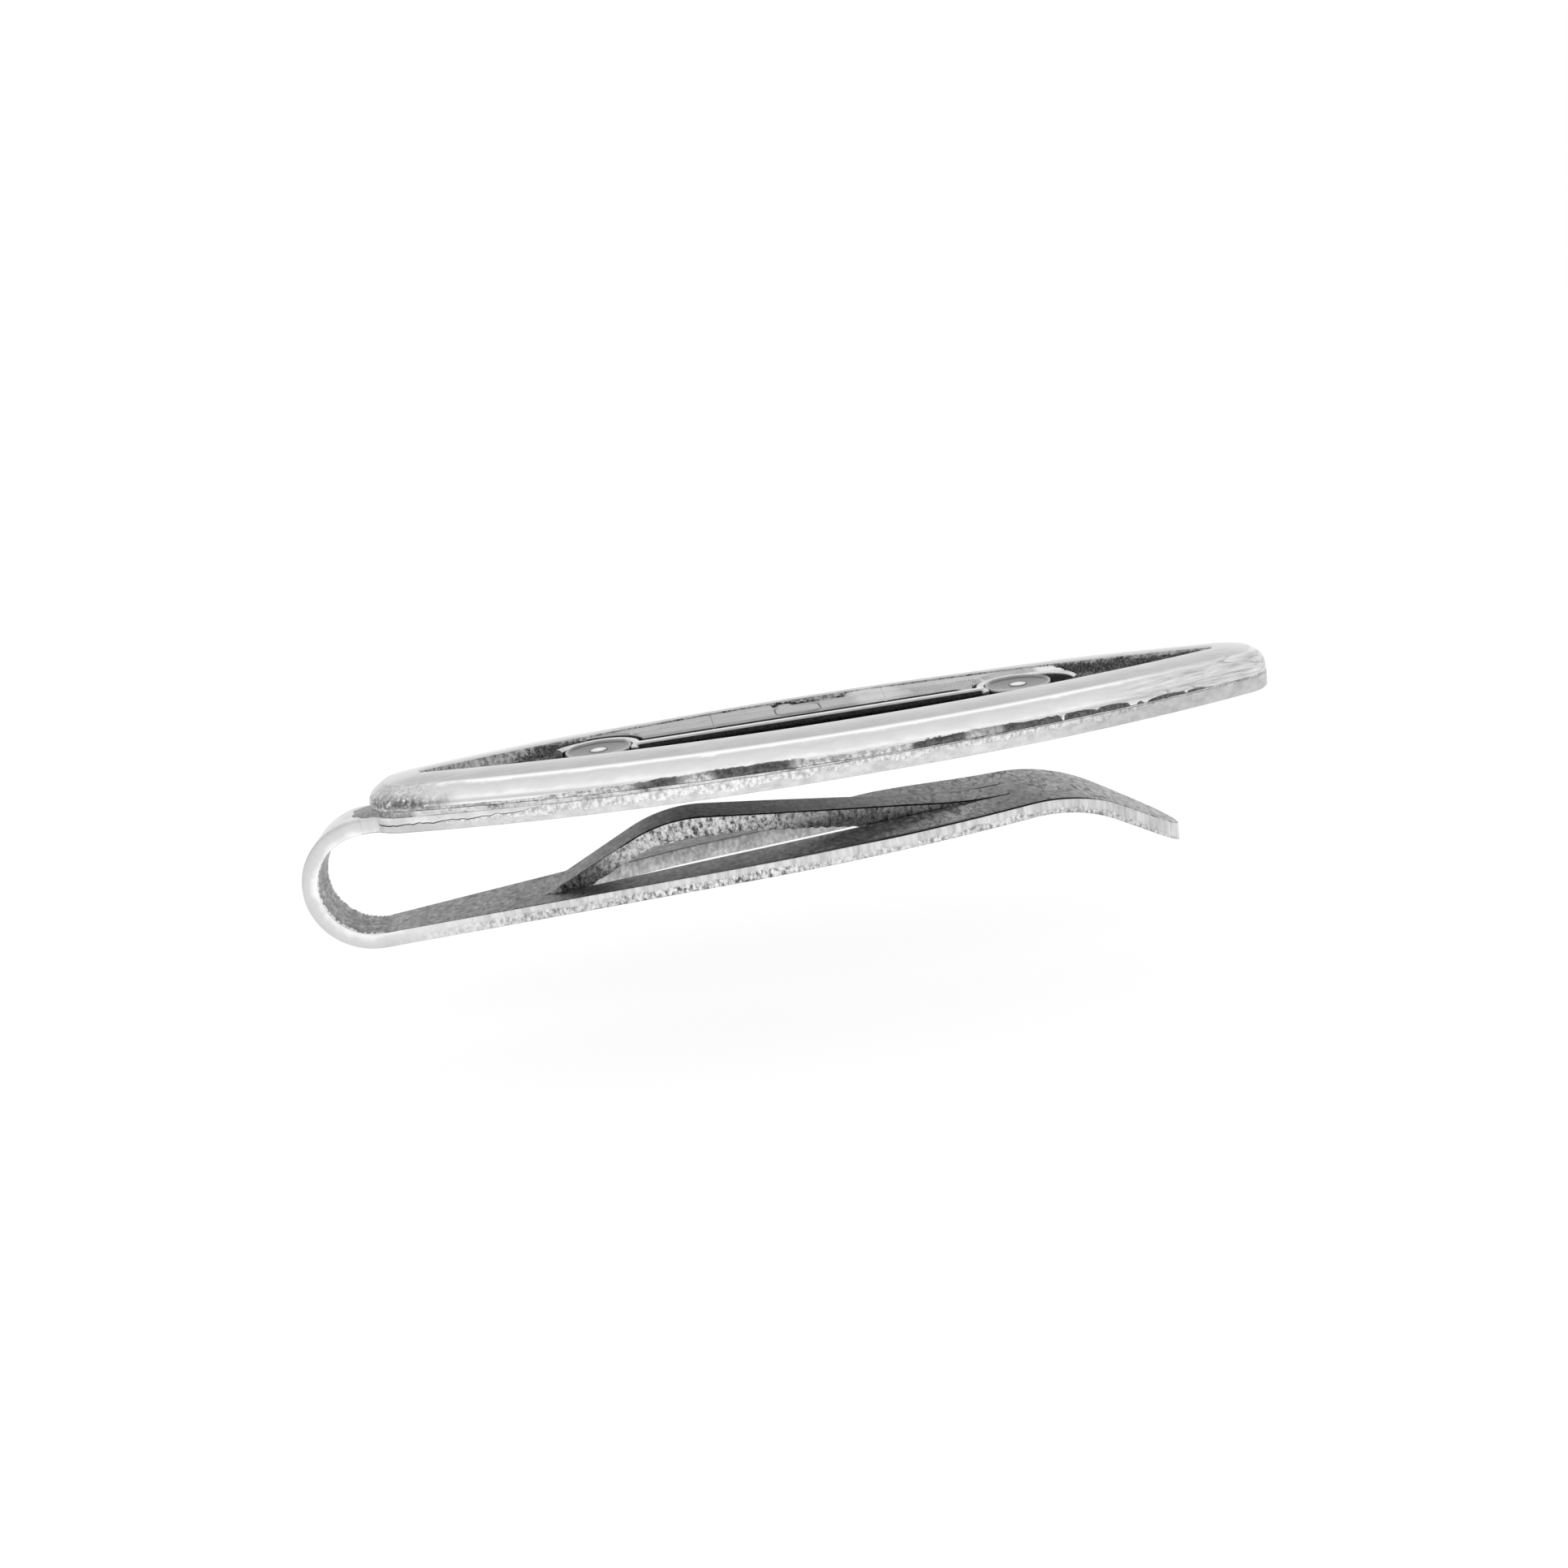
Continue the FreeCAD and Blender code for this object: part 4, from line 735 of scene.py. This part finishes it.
def slab(name, x, y, top, bottom, keep, inner_on_top, finish, turned_edge=None, brink=None, torn=None,
         layers=4, edge=0.06):
    """Sheet between a top and a bottom surface over one plan grid, walled wherever its kept cells end.

    An edge of a kept cell is a wall where no other kept cell runs along it the other way. Walls are cut
    into layers, and the edges round them are bevelled, except across the first row, where it joins on.
    Depth is 1 on the burnished side of a wall, which is the top unless an edge is turned. The brink mark
    is for the upper face, and torn is a pair of marks for the walls' upper and lower edges.
    """
    rows, columns = x.shape
    count = x.size
    upper, lower = (np.stack([x, y, z], -1).reshape(-1, 3) for z in (top, bottom))
    row, column = np.nonzero(keep)
    corner = row * columns + column
    cells = np.stack([corner, corner + columns, corner + columns + 1, corner + 1], -1)
    runs = np.stack([cells, np.roll(cells, -1, 1)], -1).reshape(-1, 2)
    alone = ~np.isin(runs[:, 0] * count + runs[:, 1], runs[:, 1] * count + runs[:, 0])
    start, end = runs[alone].T
    rim_points = np.unique(start)
    place_of = np.zeros(count, int)
    place_of[rim_points] = np.arange(len(rim_points))
    share = np.arange(1, layers)[:, None, None] / layers
    between = upper[rim_points] * (1 - share) + lower[rim_points] * share

    def at(point, layer):
        """Index of a wall point: upper sheet, layers between, lower sheet."""
        if layer == 0:
            return point
        if layer == layers:
            return point + count
        return 2 * count + (layer - 1) * len(rim_points) + place_of[point]

    walls = [np.stack([at(end, layer), at(start, layer), at(start, layer + 1), at(end, layer + 1)], -1)
             for layer in range(layers)]
    faces = np.concatenate([cells, cells[:, ::-1] + count, *walls])
    points = np.concatenate([upper, lower, between.reshape(-1, 3)])
    turn = np.zeros(count, bool) if turned_edge is None else turned_edge.ravel()
    turns = np.concatenate([turn, turn, np.tile(turn[rim_points], layers - 1)])
    depth = np.concatenate([np.ones(count), np.zeros(count), np.repeat(1 - share.ravel(), len(rim_points))])
    depth = np.where(turns, 1 - depth, depth)
    wall = np.concatenate([np.zeros(2 * len(cells)), np.ones(layers * len(start))])
    inner = np.zeros(len(faces))
    inner[:len(cells)] = inner_on_top
    inner[len(cells):2 * len(cells)] = not inner_on_top
    line = np.zeros(len(points))
    line[:count] = 0 if brink is None else brink.ravel()
    rag, low_rag = np.zeros((2, count)) if torn is None else (part.ravel() for part in torn)
    rag_between = rag[rim_points] * (1 - share[..., 0]) + low_rag[rim_points] * share[..., 0]
    rags = np.concatenate([rag, low_rag, rag_between.ravel()])
    marks = {"depth": depth, "wall": wall, "inner": inner, "brink": line, "torn": rags}
    made = piece(name, points, faces, marks, finish)
    pairs = np.empty(2 * len(made.data.edges), np.int32)
    made.data.edges.foreach_get("vertices", pairs)
    pairs = np.sort(pairs.reshape(-1, 2), 1)
    along = np.sort(runs[alone & (runs.max(1) >= columns)], 1)
    along = np.concatenate([along, along + count])
    wanted = np.isin(pairs[:, 0] * 2 * count + pairs[:, 1], along[:, 0] * 2 * count + along[:, 1])
    weight = made.data.attributes.new("bevel_weight_edge", "FLOAT", "EDGE")
    weight.data.foreach_set("value", wanted.astype(np.float32))
    bevel = made.modifiers.new("edge", "BEVEL")
    bevel.limit_method, bevel.width, bevel.segments = "WEIGHT", edge * MILLIMETRE, 2
    bevel.use_clamp_overlap = False
    return made


leaf_silver = sheet_silver("leaf_silver", (0.5, 0.62), (0.58, 0.8), (0.56, 1), (1.4, 1.4, 2.2), 0.6, 0.25)
plate_run = plate_half_length - plate_end_radius
plate_side = plate_run**2 + plate_half_width**2 - plate_end_radius**2
plate_side = plate_side / (2 * (plate_half_width - plate_end_radius))


def plate_half(x):
    """Half-width of the plate's outline at a place along it: end circles, and long arcs between them."""
    from_middle = np.abs(x - plate_x)
    touch = plate_run * plate_side / (plate_side - plate_end_radius)
    side_sheen_and_wear = np.sqrt(np.maximum(plate_side**2 - from_middle**2, 0)) - plate_side + plate_half_width
    end = np.sqrt(np.maximum(plate_end_radius**2 - (from_middle - plate_run)**2, 0))
    return np.where(from_middle < touch, side_sheen_and_wear, end)


def leaf_half(x):
    """Half-width of the leaf: the neck and the plate's outline run into each other in a soft corner."""
    left = x < plate_x
    return np.where(left, (neck_half**8 + plate_half(x)**8)**0.125, plate_half(x)) - 0.01


leaf_stretch = np.sin(np.linspace(0, np.pi / 2, 420))
leaf_x = bend_x + (plate_high[0] - 0.02 - bend_x) * leaf_stretch
across = np.linspace(-1, 1, 25)
leaf_grid_x = np.repeat(leaf_x[:, None], len(across), 1)
tuck = 0.012 * (1 - smooth(leaf_grid_x, bend_x + 0.1, bend_x + 0.6))
leaf_grid_y = (leaf_half(leaf_x)[:, None] - tuck) * across
leaf_top = leaf_high[2] + leaf_rise(leaf_grid_x)
back_leaf = slab("back_leaf_sheet", leaf_grid_x, leaf_grid_y, leaf_top - tuck, leaf_top - gauge + tuck,
                 np.ones((len(leaf_x) - 1, len(across) - 1), bool), False, leaf_silver,
                 np.ones(leaf_grid_x.shape, bool))
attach(back_leaf, "front")
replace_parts(back_leaf, "back_leaf")

# Solder spill: a thin tongue of solder that ran out of the seam and down the leaf's near edge by the bend,
# where it froze with a ragged lower edge. A dark line under that edge is a painted shadow.
spill_from, spill_to, spill_film = -20.6, -12.4, 0.06
spill_share = np.linspace(0, 1, 200)[:, None]
spill_x = spill_from + (spill_to - spill_from) * spill_share
spill_taper = np.clip(np.minimum(spill_share / 0.06, (1 - spill_share) / 0.12), 0, 1)**0.5
spill_reach = 0.57 - 0.36 * spill_share + 0.07 * ripple(spill_x, 0 * spill_x, 1.5, 21)
spill_reach = spill_reach + 0.03 * ripple(spill_x, 0 * spill_x, 0.4, 22)
spill_reach = spill_reach * gauge * (0.5 + 0.5 * spill_taper)
spill_down = np.array([0.02, 0.3, 0.6, 0.82, 0.88, 0.9, 1.06, 1.08, 0.02])
spill_out = np.array([0.3, 0.8, 1.0, 1.0, 0.8, 0.25, 0.15, -0.5, -0.5])
spill_points = np.stack([
    spill_x + 0 * spill_down,
    -leaf_half(spill_x) - spill_film * spill_taper * spill_out,
    leaf_high[2] + leaf_rise(spill_x) - spill_reach * spill_down,
], -1)
# Painted shadow in the rows under the spill's ledge.
spill_ledge_shadow = np.array([0, 0, 0, 0, 0.2, 0.9, 1, 1, 0])
spill_marks = {"spill": np.ones(spill_x.size * len(spill_down)), "drip": np.tile(spill_ledge_shadow, len(spill_x))}
spill_points[[0, -1]] = spill_points[[0, -1]].mean(1, keepdims=True)
spill_faces = grid_faces(len(spill_x), len(spill_down), True)
solder_spill = piece(
    "solder_spill", spill_points.reshape(-1, 3), spill_faces, spill_marks, solder_silver, 60)
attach(solder_spill, "front")

# Tongue: the strip's lower leg, cut to a long leaf shape that slopes up to a crest and curls away at
# the tip. Two slits are lanced through it from below, and the middle finger between them is bowed up.
slope = math.radians(3.2)
crest_place, crest_radius = plate_x + 9.8, 9.0
tip_drop = math.radians(30)
tongue_reach = plate_x + 17.8
tongue_half, widest_at, side_bow = 4.0, plate_x + 1.5, 60.0
finger_half, slit_width, finger_root, finger_bow = 1.0, 0.06, 7.85, 2.45
finger_rise, finger_fall = math.radians(22.2), math.radians(9.8)
root_radius, bow_radius, fade_radius = 1.5, 7.0, 22.0
burr, far_lift, torn_length = 0.15, 0.27, 1.1


def trace(start, heading, path, count=160):
    """Points and headings along a path of tangent runs, each a length and a turn, zero where straight.

    On an arc the heading grows evenly, so the points are the start plus the running sum of short chords.
    """
    points, headings = [np.array([start])], [np.array([heading])]
    for length, turn in path:
        share = (np.arange(count) + 0.5) / count
        course = heading + turn * share
        chord = length / count * np.stack([np.cos(course), np.sin(course)], -1)
        points.append(points[-1][-1] + np.cumsum(chord, 0))
        heading = heading + turn
        headings.append(course + turn * 0.5 / count)
    return np.concatenate(points), np.concatenate(headings)


def sheet_heights(x, points, headings):
    """Heights of a bent sheet's upper face and of its offset by the gauge, at places along it."""
    under = points + gauge * np.stack([np.sin(headings), -np.cos(headings)], -1)
    return np.interp(x, points[:, 0], points[:, 1]), np.interp(x, under[:, 0], under[:, 1])


tongue_silver = sheet_silver("tongue_silver", (0.72, 0.9), (0.5, 0.8), (0.1, 0.92), (3, 3, 0.5), 0.6, 0.1)
leg_start = (bend_x + bend_radius * math.sin(slope), bend_z - bend_radius * math.cos(slope))
leg_length = (crest_place - crest_radius * math.sin(slope) - leg_start[0]) / math.cos(slope)
leg_path = trace(leg_start, slope, [
    (leg_length, 0), (crest_radius * (slope + tip_drop), -slope - tip_drop), (6.0, 0)])
rise_line = (finger_bow - (root_radius + bow_radius) * (1 - math.cos(finger_rise))) / math.sin(finger_rise)
fall_line = (finger_bow - (bow_radius + fade_radius) * (1 - math.cos(finger_fall))) / math.sin(finger_fall)
finger_start = np.array(leg_start) + finger_root * np.array([math.cos(slope), math.sin(slope)])
finger_path = trace(finger_start, slope, [
    (root_radius * finger_rise, finger_rise),
    (rise_line, 0),
    (bow_radius * (finger_rise + finger_fall), -finger_rise - finger_fall),
    (fall_line, 0),
    (fade_radius * finger_fall, finger_fall),
])
slit_from, slit_to = finger_path[0][0, 0], finger_path[0][-1, 0]


def tongue_half_at(x):
    """Half-width of the tongue: straight neck, taper tangent to a long arc, round tip tangent to that."""
    center = side_bow - tongue_half
    tip_run = tongue_reach - widest_at
    tip_radius = (2 * side_bow * tongue_half - tongue_half**2 - tip_run**2) / (2 * (side_bow - tip_run))
    tip_x = tongue_reach - tip_radius
    tip_touch = widest_at + (tip_x - widest_at) * side_bow / (side_bow - tip_radius)
    to_neck = math.hypot(bend_x - widest_at, neck_half + center)
    touch = math.atan2(neck_half + center, bend_x - widest_at) - math.acos(side_bow / to_neck)
    touch_x, touch_y = widest_at + side_bow * math.cos(touch), side_bow * math.sin(touch) - center
    arc = np.sqrt(np.maximum(side_bow**2 - (x - widest_at)**2, 0)) - center
    taper = neck_half + (touch_y - neck_half) * (x - bend_x) / (touch_x - bend_x)
    tip = np.sqrt(np.maximum(tip_radius**2 - (x - tip_x)**2, 0))
    return np.select([x < bend_x, x < touch_x, x < tip_touch], [neck_half, taper, arc], tip)


tongue_x = np.concatenate([
    np.linspace(leg_start[0], slit_from, 90, endpoint=False),
    np.linspace(slit_from, slit_to, 300, endpoint=False),
    slit_to + (tongue_reach - 0.02 - slit_to) * np.sin(np.linspace(0, np.pi / 2, 130)),
])
outer_edge_y = tongue_half_at(tongue_x)[:, None]
finger_edge = np.minimum(finger_half, 0.6 * outer_edge_y)
slit_edge = finger_edge + np.minimum(slit_width, 0.05 * outer_edge_y)
side_places, finger_places = np.linspace(0, 1, 9), np.sin(np.linspace(-np.pi / 2, np.pi / 2, 15))
side_strip = slit_edge + (outer_edge_y - slit_edge) * side_places
tongue_y = np.concatenate([-side_strip[:, ::-1], finger_edge * finger_places, side_strip], 1)
tongue_grid_x = np.repeat(tongue_x[:, None], tongue_y.shape[1], 1)
leg_top, leg_under = (z[:, None] for z in sheet_heights(tongue_x, *leg_path))
finger_top, finger_under = (z[:, None] for z in sheet_heights(tongue_x, *finger_path))
slit_share = np.clip((tongue_x - slit_from) / (slit_to - slit_from), 0, 1)[:, None]
in_slit = ((tongue_x > slit_from - 1e-6) & (tongue_x < slit_to + 1e-6))[:, None]
column = np.arange(tongue_y.shape[1])
near_edge, finger_last = len(side_places) - 1, len(side_places) + len(finger_places) - 1
finger_column = (column > near_edge) & (column <= finger_last)
lift = far_lift * span(slit_share, 0.0, 0.35, 0.72, 1.0)
far_tilt = 0.7 - 0.6 * smooth(slit_share, 0.5, 0.75)
lift = lift * np.where(column > finger_last, 1 - far_tilt * (column - finger_last - 1) / near_edge, 0)
bow_place = plate_x - 7.7
along_slit = np.sin(np.pi * slit_share)**0.5
ragged_burr = burr * (1 + 0.3 * ripple(tongue_x, 0 * tongue_x, 0.5, 11))[:, None] * along_slit
ragged_burr = ragged_burr + 0.2 * np.exp(-((tongue_grid_x[:, :1] - bow_place) / 1.8)**2)
ragged_burr = ragged_burr + 0.14 * span(slit_share, 0.55, 0.75, 0.9, 1.0)
burr_here = ragged_burr * smooth(np.abs(tongue_y), finger_half - 0.35, finger_half)
twist = 0.09 * np.sin(np.pi * np.clip(slit_share * 1.3, 0, 1)) * tongue_y / finger_half
raised = in_slit & finger_column
tongue_top = np.where(raised, finger_top + twist, leg_top + lift)
far_burr = 0.09 * in_slit * along_slit * (column == finger_last + 1)
tongue_under = np.where(raised, finger_under + twist - burr_here, leg_under + lift - far_burr)
cell_place = (tongue_x[1:] + tongue_x[:-1]) / 2
slit_cell = (cell_place > slit_from + torn_length) & (cell_place < slit_to)
keep = np.ones((len(tongue_x) - 1, len(column) - 1), bool)
keep[np.ix_(slit_cell, [near_edge, finger_last])] = False
turned_edge = np.broadcast_to((column == near_edge) | (column == finger_last + 1), tongue_y.shape)
finger_line = in_slit & ((column == near_edge + 1) | (column == finger_last))
car_place = tongue_grid_x - plate_x
near_line = (column == 0) * smooth(car_place, -4.0, 3.0) * (1 - 0.45 * smooth(car_place, 11.0, 14.0))
dark_lines = np.maximum(finger_line * smooth(slit_share, 0.12, 0.2), near_line)
# Painted light on the near strip's top beside the slit.
painted_light = (column > 0) * (column <= near_edge) * span(car_place, -8.0, 0.0, 5.0, 9.0)
ragged_metal = 1.12 - smooth(car_place, -13.2, -11.0) + 0.42 * smooth(car_place, -4.0, 1.0)
ragged_metal = np.where(raised, ragged_metal, np.where(column == finger_last + 1, -1.0, 0.0))
ragged_under = ragged_metal + 0.9 * raised * smooth(car_place, -6.0, 0.0)
tongue = slab("tongue_sheet", tongue_grid_x, tongue_y, tongue_top, tongue_under, keep, True, tongue_silver,
              turned_edge, dark_lines - painted_light, (ragged_metal, ragged_under))
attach(tongue, "tongue")
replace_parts(tongue, "tongue")

# Bend: where the strip is turned round a rod into a narrow U. It is the spring of the clip, between the
# leaf above and the tongue below.
bend_overlap = 0.04
bend_turn = np.linspace(math.pi / 2 + leaf_tilt - bend_overlap, 1.5 * math.pi + slope, 120)
corner_turn = np.linspace(0, math.pi / 2, 4)
corner_radius = 0.06
corner_y, corner_n = corner_radius * np.sin(corner_turn), corner_radius * (1 - np.cos(corner_turn))
flat = np.linspace(-1, 1, 13)
wall_n = np.linspace(corner_radius, gauge - corner_radius, 5)[1:-1]
rise_n = np.concatenate([corner_n, wall_n, gauge - corner_n[::-1]])
edge_out = np.concatenate([corner_y, corner_radius + 0 * wall_n, corner_y[::-1]])
on_edge = np.ones(len(rise_n))
section_side = np.concatenate([flat, on_edge, flat[::-1], -on_edge])
section_out = np.concatenate([0 * flat, edge_out, 0 * flat, -edge_out])
section_n = np.concatenate([0 * flat, rise_n, gauge + 0 * flat, rise_n[::-1]])
section_wall = np.concatenate([0 * flat, on_edge, 0 * flat, on_edge])
section_inner = np.concatenate([1 + 0 * flat, 0 * on_edge, 0 * flat, 0 * on_edge])
bend_half = tongue_half_at(bend_x + bend_radius * np.cos(bend_turn))[:, None]
bend_r = bend_radius + 0.998 * section_n
bend_points = np.stack([
    bend_x + bend_r * np.cos(bend_turn)[:, None],
    (bend_half - corner_radius) * section_side + section_out,
    bend_z + bend_r * np.sin(bend_turn)[:, None],
], -1)
bend_caps = [np.repeat(bend_points[end].mean(0, keepdims=True), len(section_n), 0) for end in (0, -1)]
bend_points = np.concatenate([bend_caps[:1], bend_points, bend_caps[1:]])
stations = len(bend_points)
bend = piece(
    "bend_sheet", bend_points.reshape(-1, 3), grid_faces(stations, len(section_n), True),
    {"wall": np.tile(section_wall, stations), "inner": np.tile(section_inner, stations),
     "depth": np.tile(1 - section_n / gauge, stations), "brink": np.zeros(stations * len(section_n)),
     "torn": np.zeros(stations * len(section_n))},
    tongue_silver, 60)
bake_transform(bend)

# Studio: a pale floor along the line under the clip's bend and tip, low enough for the tongue's tip where
# the clip is opened as far as it goes, white all round, and soft light from above.
lean = (bend_z - bend_radius - gauge) / (tongue_reach - bend_x)
widest_opening, tip_clearance = math.radians(7), 0.1
open_drop = (tongue_reach - pivot[0]) * math.sin(widest_opening) + tip_clearance
floor_reach, paper_tone, paper_glow = 3000.0, 0.32, 0.74
floor_mesh = bpy.data.meshes.new("floor")
floor_x = np.array([-floor_reach, floor_reach, floor_reach, -floor_reach])
floor_y = np.array([-floor_reach, -floor_reach, floor_reach, floor_reach])
floor_points = np.stack([floor_x, floor_y, (tongue_reach - floor_x) * lean - open_drop], -1)
floor_mesh.from_pydata((floor_points * MILLIMETRE).tolist(), [], [(0, 1, 2, 3)])
floor = bpy.data.objects.new("floor", floor_mesh)
bpy.context.scene.collection.objects.link(floor)
paper = bpy.data.materials.new("paper")
paper.use_nodes = True
paper.node_tree.nodes.clear()
blank = Field(paper.node_tree, None)
matt = blank.node("ShaderNodeBsdfDiffuse", None, {"Color": grey(paper_tone)})
glow = blank.node("ShaderNodeEmission", None, {"Color": grey(1), "Strength": paper_glow})
both = blank.node("ShaderNodeAddShader", None, {0: matt, 1: glow})
blank.node("ShaderNodeOutputMaterial", None, {"Surface": both}, None)
floor_mesh.materials.append(paper)

world = bpy.data.worlds.new("studio")
world.use_nodes = True
bpy.context.scene.world = world
backdrop = world.node_tree.nodes["Background"]
way = Field(world.node_tree, None).node("ShaderNodeTexCoord", output=0)
away, rise = way.part(1), way.part(2)
veil = rise.step(0.3, 0.5) * (1 - rise.step(0.6, 0.85)) * away.step(-0.2, 0.3)
behind = (0 - away).step(0.2, 0.8) * (1 - rise.step(0.1, 0.5))
light = 1 - veil * 0.22 - behind * 0.4
world.node_tree.links.new(light.socket, backdrop.inputs["Color"])
bpy.context.scene.view_settings.view_transform = "Standard"

# Camera: close and a little above the clip's near side, rolled so that the open end rises. It aims at the
# leaf's underside in the middle of the plate, from a distance and two shifts in millimetres.
yaw, pitch, roll = (math.radians(angle) for angle in (4.5163, 14.4790, 7.9881))
aim_distance, shift_across, shift_up = 76.3053, 2.2663, 1.7946
sight = Vector((math.sin(yaw) * math.cos(pitch), math.cos(yaw) * math.cos(pitch), -math.sin(pitch)))
right = Vector((math.cos(yaw), -math.sin(yaw), 0))
over = right.cross(sight)
across_view = right * math.cos(roll) - over * math.sin(roll)
up_view = right * math.sin(roll) + over * math.cos(roll)
camera_data = bpy.data.cameras.new("camera")
camera_data.sensor_width = 36
camera_data.lens = 34.453
camera_data.clip_start = MILLIMETRE
camera = bpy.data.objects.new("camera", camera_data)
stand = Matrix((across_view, up_view, -sight)).transposed().to_4x4()
aim = Vector((plate_x, 0, leaf_high[2] - gauge))
eye = aim - sight * aim_distance - across_view * shift_across - up_view * shift_up
stand.translation = eye * MILLIMETRE
camera.matrix_world = stand
bpy.context.scene.collection.objects.link(camera)
bpy.context.scene.camera = camera
